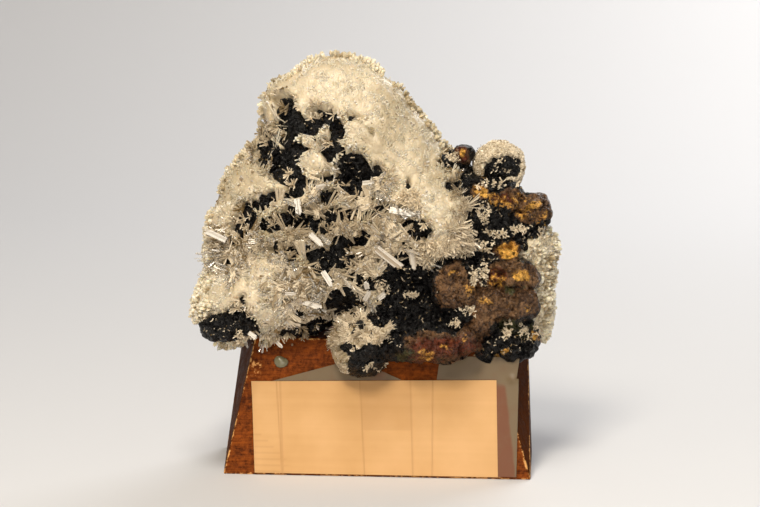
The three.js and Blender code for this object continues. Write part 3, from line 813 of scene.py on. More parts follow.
@dataclass
class WoodBlock:
    """Hand cut block: eight corners, with each side parted from front foot to back top."""

    height: float = 35.0
    foot: tuple = ((-39, -16.6), (41.5, -16.6), (40.5, 16.3), (-42.5, 16.3))
    top: tuple = ((-31.4, -8.6), (30.8, -8.6), (39.2, 14.8), (-37.2, 14.8))

    def corners(self, by: float = 0.0) -> ndarray:
        """The eight corners, foot first, each moved outwards by some mm across and down."""
        foot = [(x, y, 0.0) for x, y in self.foot]
        top = [(x, y, self.height) for x, y in self.top]
        points = np.array(foot + top, dtype=float)
        points[:, :2] += np.sign(points[:, :2]) * by
        return points

    def surface(self, cell: float, rounding: float) -> tuple[ndarray, ndarray]:
        """The block's faces as grids of square cells with rounded edges.

        A point of a plain box is pulled in until it lies no farther than the rounding from
        the box that is smaller by the rounding, and the box is then bent into the block.
        Each side is bent along its diagonal from front foot to back top.

        Args:
            cell: Width of a cell, in mm.
            rounding: Radius of the edges, in mm.

        Returns:
            The points, and the quads' corner numbers.
        """
        size = np.array([78.0, 30.0, self.height])
        near = rounding * np.array([0.0, 0.3, 0.6, 1.0])
        inside = [np.arange(2 * rounding, s - 1.5 * rounding, cell) for s in size]
        stops = [np.concatenate([near, run, s - near[::-1]]) for run, s in zip(inside, size)]
        counts = np.array([len(stop) for stop in stops])
        square = ((0, 0), (1, 0), (1, 1), (0, 1))
        groups = []
        for axis in range(3):
            first, second = (axis + 1) % 3, (axis + 2) % 3
            a, b = np.meshgrid(
                np.arange(counts[first] - 1), np.arange(counts[second] - 1), indexing="ij"
            )
            for level in (0, counts[axis] - 1):
                order = square if level else (square[0], *square[:0:-1])
                cells = np.zeros((a.size, 4, 3), dtype=np.int64)
                cells[:, :, axis] = level
                for k, (right, up) in enumerate(order):
                    cells[:, k, first] = a.ravel() + right
                    cells[:, k, second] = b.ravel() + up
                groups.append(cells)
        cells = np.concatenate(groups)
        code = cells @ np.array([1, counts[0], counts[0] * counts[1]])
        used, quads = np.unique(code, return_inverse=True)
        place = np.stack([used, used // counts[0], used // (counts[0] * counts[1])], axis=-1)
        place[:, :2] %= counts[:2]
        box = np.stack([stops[k][place[:, k]] for k in range(3)], axis=-1)
        inner = np.clip(box, rounding, size - rounding)
        box = (inner + rounding * unit(box - inner)) / size
        across, back, up = box[:, :1], box[:, 1:2], box[:, 2:]
        c = self.corners()
        is_low = back >= up
        ends = [
            np.where(
                is_low,
                c[foot] * (1 - back) + c[behind] * (back - up) + c[above] * up,
                c[foot] * (1 - up) + c[top] * (up - back) + c[above] * back,
            )
            for foot, behind, top, above in ((0, 3, 4, 7), (1, 2, 5, 6))
        ]
        return mix(ends[0], ends[1], across), quads.reshape(-1, 4)

    def clear(self, points: ndarray, room: float = 1.0, gap: float = 0.3) -> ndarray:
        """Moves points out of the block's room, along the nearest of its faces.

        Args:
            points: Places in mm.
            room: How far the room reaches beyond the block's sides.
            gap: How far it reaches above the block's top.

        Returns:
            The places, none of them inside the block or low behind its front.
        """
        c = self.corners(room)
        level = self.height + gap
        up = (np.array([0.0, 0.0, level]), np.array([0.0, 0.0, 1.0]))
        front = (c[0], unit(np.cross(c[1] - c[0], c[5] - c[0])))
        right = (c[1], unit(np.cross(c[6] - c[1], c[5] - c[1])))
        left = (c[0], unit(np.cross(c[4] - c[0], c[7] - c[0])))
        behind = (np.array([0.0, 2.0, 0.0]), np.array([0.0, -1.0, 0.0]))
        moved = points.copy()
        for planes in ((up, front, right, left), (up, behind)):
            away = np.stack([(moved - at) @ normal for at, normal in planes], axis=-1)
            is_inside = np.all(away < 0.0, axis=1)
            nearest = np.argmax(away, axis=1)
            normals = np.stack([normal for _, normal in planes])[nearest]
            depth = np.take_along_axis(away, nearest[:, None], axis=1)
            moved -= np.where(is_inside[:, None], depth * normals, 0.0)
        return moved


# Rock


@dataclass(frozen=True)
class OxideRock:
    """Black manganese oxide with brown iron oxide: dull, earthy, with small bright glints."""

    black: str = "040303"
    brown: str = "705032"
    dark_brown: str = "301e16"
    ochre: str = "ffc45c"
    rust: str = "98561e"
    red: str = "6a2e12"
    green: str = "50502e"
    bloom: str = "8a6846"

    def make(self) -> Material:
        """Rock material: the mesh's shares pick the colours, and noise breaks their edges."""
        material, add = new_material("manganese and iron oxide rock")
        place = add("TexCoord", output="Object")
        # Earthy mottling about 1 mm across keeps the brown from looking painted
        mottle = add("TexNoise", {"Vector": place, "Scale": 900.0, "Detail": 6.0, "Roughness": 0.75})
        # Grit of 0.3 mm, which also roughens the broken surface
        grit = add("TexNoise", {"Vector": place, "Scale": 2400.0, "Detail": 4.0, "Roughness": 0.7})
        # Fissures: very wavy edges between cells of about 4 mm
        waves = add("TexNoise", {"Vector": place, "Scale": 420.0, "Detail": 5.0}, "Color")
        wavy = add("Mix", {0: 0.012, 4: place, 5: waves}, 1, data_type="VECTOR")
        edges = add("TexVoronoi", {"Vector": wavy, "Scale": 190.0}, feature="DISTANCE_TO_EDGE")
        crack = add("MapRange", {"Value": edges, "From Min": -0.03, "From Max": 0.09})
        gloss = add("MapRange", {
            "Value": mottle, "From Min": 0.35, "From Max": 0.65, "To Min": 0.1, "To Max": 0.55,
        })
        shader = add("BsdfPrincipled", {
            "Base Color": self.colour(add, place, mottle, grit, crack),
            "Normal": self.normal(add, place, grit, crack),
            "Roughness": gloss, "IOR": 1.5, "Specular IOR Level": 0.35,
        })
        add("OutputMaterial", {"Surface": shader})
        return material

    def colour(self, add: AddNode, *sources: NodeSocket) -> NodeSocket:
        """Black under the colours of the four zones, whose edges the mottling breaks up.

        Args:
            add: Adds a node to the material.
            sources: The place, the mottling, the grit and the cracks.

        Returns:
            The colour.
        """
        place, mottle, grit, crack = sources
        # Broad patches, 4 mm across, where the brown has a grey pink bloom
        patch = add("TexNoise", {"Vector": place, "Scale": 240.0, "Detail": 3.0})
        patch = add("MapRange", {"Value": patch, "From Min": 0.45, "From Max": 0.62})
        ends = {0: patch, 6: linear(self.brown), 7: linear(self.bloom)}
        bloomed = add("Mix", ends, 2, data_type="RGBA")
        speckle = add("Math", {0: grit, 1: 0.7, 2: mottle}, operation="MULTIPLY_ADD")
        light, patchy = (
            add("Math", {
                0: add("MapRange", {"Value": speckle, "From Min": low, "From Max": high}),
                1: crack,
            }, operation="MULTIPLY")
            for low, high in ((0.64, 0.92), (0.74, 1.04))
        )
        colour = linear(self.black)
        for name, low, high in (
            ("brown", self.dark_brown, bloomed),
            ("red", self.dark_brown, linear(self.red)),
            ("ochre", self.rust, linear(self.ochre)),
            ("green", self.black, linear(self.green)),
        ):
            share = add("Attribute", output="Fac", attribute_name=name)
            spotted = add("Math", {0: share, 1: 0.4, 2: patchy}, operation="MULTIPLY_ADD")
            ends = {0: light if name == "brown" else spotted, 6: linear(low), 7: high}
            tint = add("Mix", ends, 2, data_type="RGBA")
            broken = add("Math", {0: mottle, 1: 2.2, 2: share}, operation="MULTIPLY_ADD")
            broken = add("MapRange", {"Value": broken, "From Min": 1.45, "From Max": 1.75})
            colour = add("Mix", {0: broken, 6: colour, 7: tint}, 2, data_type="RGBA")
        return colour

    @staticmethod
    def normal(add: AddNode, *sources: NodeSocket) -> NodeSocket:
        """The bumpy surface's direction.

        Args:
            add: Adds a node to the material.
            sources: The place, the grit and the cracks.

        Returns:
            The direction.
        """
        place, grit, crack = sources
        # Crumbs of about 0.7 mm: broken oxide is never smooth
        crumbs = add("TexVoronoi", {"Vector": place, "Scale": 1400.0})
        values = {"Height": crumbs, "Strength": 0.6, "Distance": 0.0006}
        normal = add("Bump", values, invert=True)
        for height, strength, depth in ((grit, 0.9, 0.0006), (crack, 0.7, 0.0005)):
            values = {"Height": height, "Strength": strength, "Distance": depth, "Normal": normal}
            normal = add("Bump", values)
        # Every crumb is a facet of its own, so that single ones catch the light
        facet = {0: crumbs.node.outputs["Color"], 1: (0.5, 0.5, 0.5)}
        tilt = add("VectorMath", facet, operation="SUBTRACT")
        values = {0: tilt, 1: (1.3, 1.3, 1.3), 2: normal}
        tilted = add("VectorMath", values, operation="MULTIPLY_ADD")
        return add("VectorMath", {0: tilted}, operation="NORMALIZE")


@dataclass
class MatrixRock:
    """The rock: its main mass, lumps and knob core, fused and then broken up by noise."""

    skin: SpecimenSkin
    block: WoodBlock
    finish: OxideRock = OxideRock()
    voxel: float = 0.53
    rows: int = 150
    columns: int = 300

    def build(self) -> Object:
        """Makes the rock and stands it in for the plain solid."""
        sheets = [self.skin.sheet(self.rows, self.columns, SkinRule.ROCK)]
        sheets += [ball(at, radii, 24, 50 + k, 0.75) for k, (at, radii) in enumerate(ROCK_LUMPS)]
        sheets += [ball(n.middle, n.core, 24, 71) for n in (KNOB, LOBE)]
        fused = self.fuse(sheets)
        points, normals = self.read(fused)
        points = points + normals * self.relief(points)[:, None]
        points = self.block.clear(points)
        fused.vertices.foreach_set("co", (points * MM).astype(np.float32).ravel())
        for name, share in self.zones(points).items():
            write_attribute(fused, name, share)
        shade(fused, True)
        return add_piece(fused, self.finish.make(), ("matrix_rock",))

    def fuse(self, sheets: list[Sheet]) -> Mesh:
        """Joins closed surfaces into one skin with a voxel remesh."""
        offsets = np.cumsum([0] + [len(sheet.points) for sheet in sheets])
        faces = [group + offset for sheet, offset in zip(sheets, offsets) for group in sheet.faces]
        mesh = new_mesh("rock_parts", np.vstack([sheet.points for sheet in sheets]), faces)
        helper = bpy.data.objects.new("rock_parts", mesh)
        bpy.context.scene.collection.objects.link(helper)
        remesh = helper.modifiers.new("fuse", "REMESH")
        remesh.mode = "VOXEL"
        remesh.voxel_size = self.voxel * MM
        settled = helper.evaluated_get(bpy.context.evaluated_depsgraph_get())
        fused = bpy.data.meshes.new_from_object(settled)
        fused.name = "matrix_rock_surface"
        bpy.data.objects.remove(helper)
        bpy.data.meshes.remove(mesh)
        return fused

    @staticmethod
    def read(mesh: Mesh) -> tuple[ndarray, ndarray]:
        """The mesh's places in mm and the directions square to it."""
        points = np.empty(len(mesh.vertices) * 3)
        mesh.vertices.foreach_get("co", points)
        normals = np.empty(len(mesh.vertices) * 3)
        mesh.vertex_normals.foreach_get("vector", normals)
        return points.reshape(-1, 3) / MM, normals.reshape(-1, 3)

    @staticmethod
    def zones(points: ndarray) -> dict[str, ndarray]:
        """Share of each colour at each place, with ragged edges of about 1.5 mm."""
        plane = VIEW.from_block(points)
        moved = ragged(plane, points, 3.6, 2.0, (5, 23))
        is_front = smooth((4.0 - plane[:, 1]) / 6.0)
        behind = smooth(0.6 + 1.8 * rough_noise(points, 14.0, 41))
        brown = ellipse_share(moved, BROWN_GROUND, 0.6) * (1.0 - ellipse_share(moved, BLACK_GAPS))
        spots = 0.5 * ellipse_share(moved, OCHRE_SPOTS, 1.2)
        return {
            "brown": mix(behind, brown, is_front),
            "red": 0.85 * ellipse_share(moved, RED_GROUND, 1.2) * is_front,
            "ochre": np.maximum(spots, ellipse_share(moved, BRIGHT_OCHRE, 1.0)) * is_front,
            "green": 0.7 * ellipse_share(moved, GREEN_SPOTS, 1.2) * is_front,
        }

    def relief(self, points: ndarray) -> ndarray:
        """Height of the surface: sooty grains where black, pitted lumps where brown, fissures."""
        brown = self.zones(points)["brown"]
        sooty = 1.7 * grains(points, 2.2, 61) + 0.9 * grains(points, 1.1, 67) - 1.6
        earthy = 1.0 * grains(points, 4.2, 71) + 0.5 * grains(points, 1.5, 75) - 0.8
        earthy += 2.0 * rough_noise(points, 3.2, 73, 4)
        bent = points + 2.5 * rough_noise(points, 5.0, 83)[:, None]
        fissures = 1.8 * smooth((0.52 - grains(bent, 7.0, 79)) / 0.14)
        height = 0.8 * rough_noise(points, 7.0, 77) + mix(sooty, earthy, brown) - fissures
        return np.minimum(height, 0.9)


# Crystals


@dataclass
class Crystals:
    """Many crystals as arrays with one row each, in mm."""

    root: ndarray
    along: ndarray
    across: ndarray
    length: ndarray
    width: ndarray
    thick: ndarray
    tone: ndarray

    def where(self, is_kept: ndarray) -> "Crystals":
        """Only the crystals that are kept."""
        return Crystals(*(getattr(self, name)[is_kept] for name in self.__dataclass_fields__))

    def tips(self) -> ndarray:
        """Places of the tips."""
        return self.root + self.along * self.length[:, None]

    @staticmethod
    def joined(groups: list["Crystals"]) -> "Crystals":
        """Several sets as one."""
        names = Crystals.__dataclass_fields__
        return Crystals(*(np.concatenate([getattr(g, name) for g in groups]) for name in names))


class CrystalForm(Enum):
    """Cross section of a crystal as places over its width and thickness, and its root's size."""

    NEEDLE = (((0.5, 0.0), (0.0, 0.5), (-0.5, 0.0), (0.0, -0.5)), 0.0)
    PRISM = (((0.5, 0.0), (0.0, 0.5), (-0.5, 0.0), (0.0, -0.5)), 0.85)
    BLADE = (((0.5, 0.0), (0.34, 0.5), (-0.34, 0.5), (-0.5, 0.0), (-0.34, -0.5), (0.34, -0.5)), 0.8)

    def template(self, taper: float) -> tuple[ndarray, list[ndarray]]:
        """Corners and faces of one crystal, whose end slopes to a short ridge.

        Args:
            taper: Length of the sloping end, in widths.

        Returns:
            Rows of (widths across, thicknesses, lengths along, widths along), and faces.
        """
        section, root_size = np.array(self.value[0]), self.value[1]
        count = len(section)
        flat = np.zeros((count, 1))
        shoulder = np.hstack([section, flat + 1.0, flat - taper])
        ridge = np.array([[0.22, 0.0, 1.0, 0.0], [-0.22, 0.0, 1.0, 0.0]])
        number = np.arange(count)
        after = (number + 1) % count
        tips = (count, count + 1)
        is_left = section[:, 0] < -0.001
        side = [tips[int(is_left[k] or is_left[after[k]])] for k in number]
        ends = [(k, after[k], side[k]) for k in number]
        ends += [(k, side[k], side[k - 1]) for k in number if side[k] != side[k - 1]]
        if root_size == 0.0:
            root = np.array([[0.0, 0.0, 0.0, 0.0]])
            low = [(count + 2, after[k], k) for k in number]
            return np.vstack([shoulder, ridge, root]), [np.array(ends + low)]
        root = np.hstack([section * root_size, flat, flat])
        foot = number + count + 2
        sides = np.stack([foot, foot[after], after, number], axis=-1)
        base = [(foot[0], foot[k + 1], foot[k]) for k in range(1, count - 1)]
        return np.vstack([shoulder, ridge, root]), [sides, np.array(ends + base)]


def crystal_mesh(name: str, crystals: Crystals, form: CrystalForm, taper: float) -> Mesh:
    """One mesh of many crystals: the form's template placed by each crystal's own axes.

    Args:
        name: The mesh's name.
        crystals: The crystals.
        form: Their cross section.
        taper: Length of the sloping end, in widths.

    Returns:
        The mesh, with the attribute tone.
    """
    corners, faces = form.template(taper)
    third = unit(np.cross(crystals.along, crystals.across))
    second = np.cross(third, crystals.along)
    reach = corners[None, :, 2] * crystals.length[:, None]
    reach = reach + corners[None, :, 3] * crystals.width[:, None]
    points = (
        crystals.root[:, None, :]
        + (corners[None, :, 0] * crystals.width[:, None])[..., None] * second[:, None, :]
        + (corners[None, :, 1] * crystals.thick[:, None])[..., None] * third[:, None, :]
        + reach[..., None] * crystals.along[:, None, :]
    )
    count = len(corners)
    offsets = np.arange(len(crystals.length)) * count
    groups = [(offsets[:, None, None] + group[None]).reshape(-1, group.shape[1]) for group in faces]
    tone = np.repeat(crystals.tone, count)
    return new_mesh(name, points.reshape(-1, 3), groups, False, tone=tone)


@dataclass(frozen=True)
class MilkyCrystal:
    """Milky hemimorphite: vitreous faces over a cloudy inside, so it glows more than it clears."""

    name: str
    light: str = "fff0d2"
    dark: str = "ac9a78"
    clearness: float = 0.1
    roughness: float = 0.35
    is_mass: bool = False
    glow: float = 0.5

    def make(self) -> Material:
        """Milky material: the tone of each crystal leads from dark to light cream."""
        material, add = new_material(self.name)
        tone = add("Attribute", output="Fac", attribute_name="tone")
        ends = {0: tone, 6: linear(self.dark), 7: linear(self.light)}
        values = {
            "Base Color": add("Mix", ends, 2, data_type="RGBA"),
            "Roughness": self.roughness,
            "IOR": HEMIMORPHITE_IOR,
            "Transmission Weight": self.clearness,
            "Subsurface Weight": self.glow,
            "Subsurface Radius": (1.0, 0.8, 0.55),
            "Subsurface Scale": MM,
        }
        if self.is_mass:
            # Packed crystal ends, about 0.7 mm across, which the mass is made of
            place = add("TexCoord", output="Object")
            packed = add("TexVoronoi", {"Vector": place, "Scale": 1400.0})
            bump = {"Height": packed, "Strength": 0.35, "Distance": 0.0005}
            values["Normal"] = add("Bump", bump, invert=True)
        shader = add("BsdfPrincipled", values)
        add("OutputMaterial", {"Surface": shader})
        return material


@dataclass(frozen=True)
class ClearCrystal:
    """Water-clear hemimorphite blades: flat glassy faces that flash and show the rock behind."""

    tint: str = "fffaf0"
    roughness: float = 0.04
    absorption: float = 15.0
    clearness: float = 0.8

    def make(self) -> Material:
        """Clear material: plain transmission, hemimorphite's index and a little absorption."""
        material, add = new_material("clear hemimorphite")
        tint = linear(self.tint)
        shader = add("BsdfPrincipled", {
            "Base Color": tint, "Roughness": self.roughness, "IOR": HEMIMORPHITE_IOR,
            "Transmission Weight": self.clearness,
        })
        inside = add("VolumeAbsorption", {"Color": tint, "Density": self.absorption})
        add("OutputMaterial", {"Surface": shader, "Volume": inside})
        return material


@dataclass
class Ground:
    """Places that crystals can grow from, and the directions that they grow in."""

    points: ndarray
    axes: ndarray

    @staticmethod
    def scattered(sheet: Sheet, weight: ndarray, count: int, rng: Generator) -> "Ground":
        """Random places on a surface.

        Args:
            sheet: The surface.
            weight: How dense the places are at each of its points.
            count: How many places.
            rng: The stream of random numbers.

        Returns:
            The places, spread evenly by area times weight.
        """
        quads = sheet.faces[0]
        corners = sheet.points[quads]
        area = np.linalg.norm(
            np.cross(corners[:, 2] - corners[:, 0], corners[:, 3] - corners[:, 1]), axis=1
        )
        chance = area * weight[quads].mean(axis=1)
        chosen = quads[rng.choice(len(quads), count, p=chance / chance.sum())]
        a, b = rng.random((2, count, 1))
        shares = [(1 - a) * (1 - b), a * (1 - b), a * b, (1 - a) * b]
        normals = sheet.normals()
        points = sum(share * sheet.points[chosen[:, k]] for k, share in enumerate(shares))
        axes = sum(share * normals[chosen[:, k]] for k, share in enumerate(shares))
        return Ground(points, unit(axes))


@dataclass(frozen=True)
class FanStyle:
    """How the crystals of a fan stand.

    Attributes:
        reach: Shortest and longest fan, in mm.
        count: Crystals in a fan.
        spread: Widest angle from the fan's axis, in radians.
        slimness: Width of a crystal as a share of the fan's reach.
        sunk: Depth of the fan's root under its place, in reaches.
        uneven: How much the crystals differ in length.
        tone: Middle of the tones, and how much they differ.
        start: Where along its line a crystal begins, in reaches.
        flatness: Thickness of a crystal as a share of its width.
        lean: Least and most that a fan leans from the ground's direction, in radians.
        is_combed: Whether fans that lean point away from the crust's centres.
    """

    reach: tuple[float, float]
    count: int
    spread: float
    slimness: float
    sunk: float
    uneven: float = 0.12
    tone: tuple[float, float] = (0.7, 0.12)
    start: float = 0.0
    flatness: float = 0.5
    lean: tuple[float, float] = (0.0, 0.0)
    is_combed: bool = False

    def axes(self, ground: "Ground", rng: Generator) -> ndarray:
        """Directions of fans that lean over the ground as this style says."""
        lean = rng.uniform(*self.lean, len(ground.points))
        heading = sideways(ground.axes, rng)
        if self.is_combed:
            heading = unit(headings(ground) + 0.35 * heading)
        return unit(turned(ground.axes, heading, lean))

    def sizes(
        self, reach: ndarray, widths: tuple[float, float], noise: float, rng: Generator
    ) -> tuple[ndarray, ndarray, ndarray]:
        """Sizes of the crystals of some fans.

        Args:
            reach: Reach of each fan.
            widths: Least and most that a crystal's width is of the style's own.
            noise: How much the tones differ within a fan.
            rng: The stream of random numbers.

        Returns:
            Length, width and tone of each crystal, fan after fan.
        """
        each = np.repeat(reach, self.count)
        length = each * rng.uniform(1.0 - self.uneven, 1.0 + self.uneven, len(each))
        width = each * self.slimness * rng.uniform(*widths, len(each))
        middle, differ = self.tone
        tone = middle + np.repeat(rng.normal(0.0, differ, len(reach)), self.count)
        return length, width, np.clip(tone + rng.normal(0.0, noise, len(each)), 0.0, 1.0)


def sideways(along: ndarray, rng: Generator) -> ndarray:
    """A random direction square to each row."""
    return unit(np.cross(along, rng.normal(size=along.shape)))


def fans(ground: Ground, style: FanStyle, rng: Generator) -> Crystals:
    """Fans of crystals that radiate from roots under the ground.

    Each crystal leaves its fan's axis by the spread times the square root of a random
    number, so the fan is filled evenly, and all tips lie about one reach from the root.

    Args:
        ground: Where the fans stand.
        style: How their crystals stand.
        rng: The stream of random numbers.

    Returns:
        The crystals.
    """
    reach = rng.uniform(*style.reach, len(ground.points))
    which = np.repeat(np.arange(len(reach)), style.count)
    axis = style.axes(ground, rng)[which]
    lean = style.spread * np.sqrt(rng.random(len(which)))
    along = unit(turned(axis, sideways(axis, rng), lean))
    begin = style.start * reach[which]
    length, width, tone = style.sizes(reach, (0.65, 1.35), style.tone[1], rng)
    root = ground.points[which] - axis * (style.sunk * reach[which])[:, None]
    root = root + along * begin[:, None]
    across = sideways(along, rng)
    return Crystals(root, along, across, length - begin, width, style.flatness * width, tone)


def headings(ground: Ground) -> ndarray:
    """Directions along the ground, away from the nearest of the crust's centres."""
    plane = VIEW.from_block(ground.points)
    away = plane[:, None, [0, 2]] - np.array(FAN_CENTRES, dtype=float)[None]
    nearest = np.argmin(np.hypot(away[..., 0], away[..., 1]), axis=1)
    away = away[np.arange(len(plane)), nearest]
    flat = np.stack([away[:, 0], np.zeros(len(plane)), away[:, 1]], axis=-1)
    return unit(flat - np.sum(flat * ground.axes, axis=1)[:, None] * ground.axes)


def wedge_fans(ground: Ground, style: FanStyle, rng: Generator) -> Crystals:
    """Flat fans that lean over the ground: crystals side by side, as striated wedges.

    Their crystals leave the wedge's axis by an even spread of angles in the wedge's plane,
    and by a little out of it.

    Args:
        ground: Where the wedges lie.
        style: How their crystals stand.
        rng: The stream of random numbers.

    Returns:
        The crystals.
    """
    reach = rng.uniform(*style.reach, len(ground.points))
    axis = style.axes(ground, rng)
    side = unit(np.cross(axis, ground.axes))
    which = np.repeat(np.arange(len(reach)), style.count)
    spread = style.spread * rng.uniform(0.5, 1.3, len(reach))[which]
    turn = spread * np.tile(np.linspace(-1.0, 1.0, style.count), len(reach))
    along = turned(axis[which], side[which], turn)
    along = unit(along + rng.normal(0.0, 0.035, len(which))[:, None] * ground.axes[which])
    length, width, tone = style.sizes(reach, (0.7, 1.3), 0.1, rng)
    root = ground.points[which] - 1.1 * ground.axes[which]
    root = root - axis[which] * (style.sunk * reach[which])[:, None]
    return Crystals(root, along, side[which], length, width, style.flatness * width, tone)


def within_room(points: ndarray) -> ndarray:
    """Which places lie in the solids' box, or outside it by under 2 percent of a side."""
    low, high = (np.array(corner, dtype=float) / MM for corner in CAD_BOX)
    room = 0.02 * (high - low)
    return np.all((points > low - room) & (points < high + room), axis=1)


@dataclass
class CrystalCrust:
    """The crust: a cloudy skin, its fine druse, and the clear blades of the middle."""

    skin: SpecimenSkin
    block: WoodBlock
    rock: ndarray
    seed: int = 12
    fine: FanStyle = FanStyle((3.0, 4.6), 34, 0.62, 0.17, 0.93, 0.02, (0.82, 0.06), 0.0, 0.75)
    streak: FanStyle = FanStyle(
        (3.2, 5.6), 20, 0.42, 0.06, 0.42, 0.15, (0.78, 0.07), 0.0, 0.9, (1.24, 1.4), True
    )
    tooth: FanStyle = FanStyle((2.4, 3.6), 3, 0.4, 0.38, 0.6, 0.15, (0.92, 0.14), 0.0, 0.7)
    wedge: FanStyle = FanStyle(
        (3.6, 8.0), 14, 0.17, 0.06, 0.5, 0.12, (0.84, 0.22), 0.0, 0.8, (1.05, 1.4)
    )
    needles: FanStyle = FanStyle(
        (1.6, 4.4), 12, 0.6, 0.08, 0.35, 0.4, (0.85, 0.25), 0.0, 0.7, (0.5, 1.4)
    )
    plate: FanStyle = FanStyle((2.0, 3.8), 14, 0.5, 0.055, 0.2, 0.25, (0.6, 0.36), 0.0, 0.8, (0.5, 1.2))
    rosette: FanStyle = FanStyle((3.0, 5.2), 36, 1.1, 0.09, 0.5, 0.15, (0.72, 0.25))
    clear_rosette: FanStyle = FanStyle((4.0, 7.5), 14, 1.3, 0.1, 0.3, 0.3, (0.6, 0.2), 0.25)
    edge: FanStyle = FanStyle((1.2, 2.6), 7, 1.2, 0.18, 0.5, 0.25, (0.7, 0.25), 0.2)
    fragment: FanStyle = FanStyle((1.4, 2.8), 8, 0.9, 0.18, 0.45, 0.25, (0.8, 0.25), 0.0, 0.7)
    cap: FanStyle = FanStyle((1.4, 2.2), 12, 0.7, 0.32, 0.8, 0.06, (0.72, 0.22), 0.0, 0.8)
    stub: FanStyle = FanStyle((2.4, 4.0), 7, 0.8, 0.36, 0.66, 0.2, (0.78, 0.42), 0.0, 0.8)
    # Painted glints: single small crystals of the whitest tone, standing in for sparkles of light
    glint: FanStyle = FanStyle((0.7, 1.3), 1, 1.1, 0.45, 0.3, 0.2, (1.0, 0.0), 0.0, 0.6)
    clump: FanStyle = FanStyle((0.6, 1.4), 6, 1.2, 0.34, 0.3, 0.3, (0.85, 0.2))
    rugged: FanStyle = FanStyle((2.6, 4.8), 10, 0.7, 0.13, 0.55, 0.2, (0.74, 0.35), 0.0, 0.8, (0.8, 1.3))
    snow: FanStyle = FanStyle((1.8, 3.4), 16, 1.0, 0.12, 0.3, 0.2, (0.97, 0.08), 0.0, 0.8)
    rng: Generator = field(init=False)
    outer: Sheet = field(init=False)
    share: ndarray = field(init=False)
    coarse: ndarray = field(init=False)

    # Fans of large clear blades: (u, v), length, and the way that the fan leans
    sprays: tuple = (
        ((6.5, 67), 7.0, (0.9, -0.1)), ((-20.5, 69), 7.0, (0.1, 0.3)), ((-15, 61), 8.0, (0.7, -0.1)),
        ((-10, 49.5), 8.0, (0.6, -0.7)), ((5.5, 56), 8.0, (0.3, -0.5)), ((-18, 43), 7.0, (0.9, -0.1)),
        ((-24, 53.5), 6.0, (-0.2, -0.3)), ((0, 73), 6.0, (0.5, 0.3)), ((-15, 73), 6.0, (-0.2, -0.2)),
        ((-30, 60), 6.0, (0.3, 0.2)), ((-20, 36), 4.0, (0.4, -0.6)), ((-30, 32.5), 4.0, (-0.2, -0.8)),
        ((-35, 33.5), 4.0, (0.1, -0.8)),
    )
    spray: FanStyle = FanStyle((1.0, 1.0), 14, 0.8, 0.12, 0.3, 0.25, (0.6, 0.2), 0.25)

    # Large crystals whose whiter tones are painted flashes of light: (u, v), angle in the view, lean
    # forward, length, width, tone
    flashes: tuple = (
        ((3.4, 68.2), -8, 0.15, 7.2, 1.7, 1.0), ((-39.8, 60.3), 154, 0.1, 6.2, 1.6, 0.95),
        ((-19.6, 43.8), -15, 0.2, 5.2, 1.5, 0.7), ((-14.6, 51.6), -55, 0.2, 4.6, 1.5, 0.9),
        ((-20.8, 71.2), -80, 0.3, 4.2, 1.7, 0.9), ((-3.6, 75), 8, 0.3, 3.4, 1.2, 0.9),
        ((-15.8, 74), 20, 0.4, 3.2, 1.3, 0.6), ((0, 57.6), -36, 0.2, 8.4, 2.2, 0.25),
        ((-3, 44), 62, 0.4, 3.4, 1.4, 0.7), ((-17.6, 61.6), -40, 0.2, 4.6, 1.6, 0.55),
        ((-2.6, 46.8), 100, 0.5, 2.4, 1.4, 0.6), ((0.4, 44.6), 40, 0.4, 2.6, 1.5, 0.7),
        ((-24, 45.5), 5, 0.4, 3.4, 0.9, 0.6), ((-34.4, 35.6), -30, 0.4, 2.8, 1.2, 0.7),
        ((-27, 33.2), -40, 0.4, 2.4, 1, 0.5), ((9.2, 57.6), -80, 0.3, 5.4, 1.8, 0.3),
    )

    def __post_init__(self) -> None:
        """Works out the ground that everything grows from."""
        self.rng = np.random.default_rng(self.seed)
        self.outer = self.skin.sheet(120, 240, SkinRule.OUTER)
        self.share = self.skin.crust_share(self.outer.plane)
        self.coarse = coarse_share(self.outer.plane)

    def build(self) -> list[Object]:
        """Makes the skin and every set of crystals."""
        mass = MilkyCrystal("massive hemimorphite", roughness=0.4, is_mass=True).make()
        milky = MilkyCrystal("milky hemimorphite").make()
        bright = MilkyCrystal("bright hemimorphite", "fff0d4", "8c7652", 0.2, 0.15, glow=0.0).make()
        glassy = MilkyCrystal("glassy hemimorphite", "fffaf0", "907a58", 0.25, 0.22, glow=0.0).make()
        pieces = [
            self.crust_skin(mass),
            self.shell(KNOB, mass, ("crystal_crust_knob",)),
            self.shell(LOBE, mass, ()),
        ]
        plane = self.outer.plane
        rim = self.view_rim(self.outer)
        edges = self.window_edges()
        patches = self.window_patches()
        front = self.share * (plane[:, 1] < 0.0)
        coarse = self.share * self.coarse
        fine = self.share**2 * (1.0 - 0.75 * self.coarse) * (1.0 - 0.85 * rim)
        toothed = self.share * rim**3 * rim_patches(plane)
        fringe = ellipse_share(plane, SHEAF_GROUND) * front * (1.2 - self.share)
        blocky = ellipse_share(plane, BLUNT_GROUND) * self.share * (plane[:, 1] < 8.0)
        rough = ellipse_share(plane, RUGGED_GROUND, 0.8) * self.share * (plane[:, 1] < 6.0)
        snowy = ellipse_share(plane, SNOW_GROUND) * front
        druse = self.grow((self.fine, 460, fine, 0.5), (self.streak, 760, fine, 0.5, wedge_fans))
        nodules = Crystals.joined([self.nodule_druse(nodule) for nodule in (KNOB, LOBE)])
        rosettes = self.grow((self.rosette, 50, coarse, 0.4))
        wedges = self.grow((self.wedge, 820, coarse, 0.4, wedge_fans))
        clear_blades = Crystals.joined([
            self.grow((self.clear_rosette, 24, coarse, 0.3)),
            self.over_crust(self.spray_blades(), 0.3),
            self.grow((self.edge, 80, edges, 0.1)),
        ])
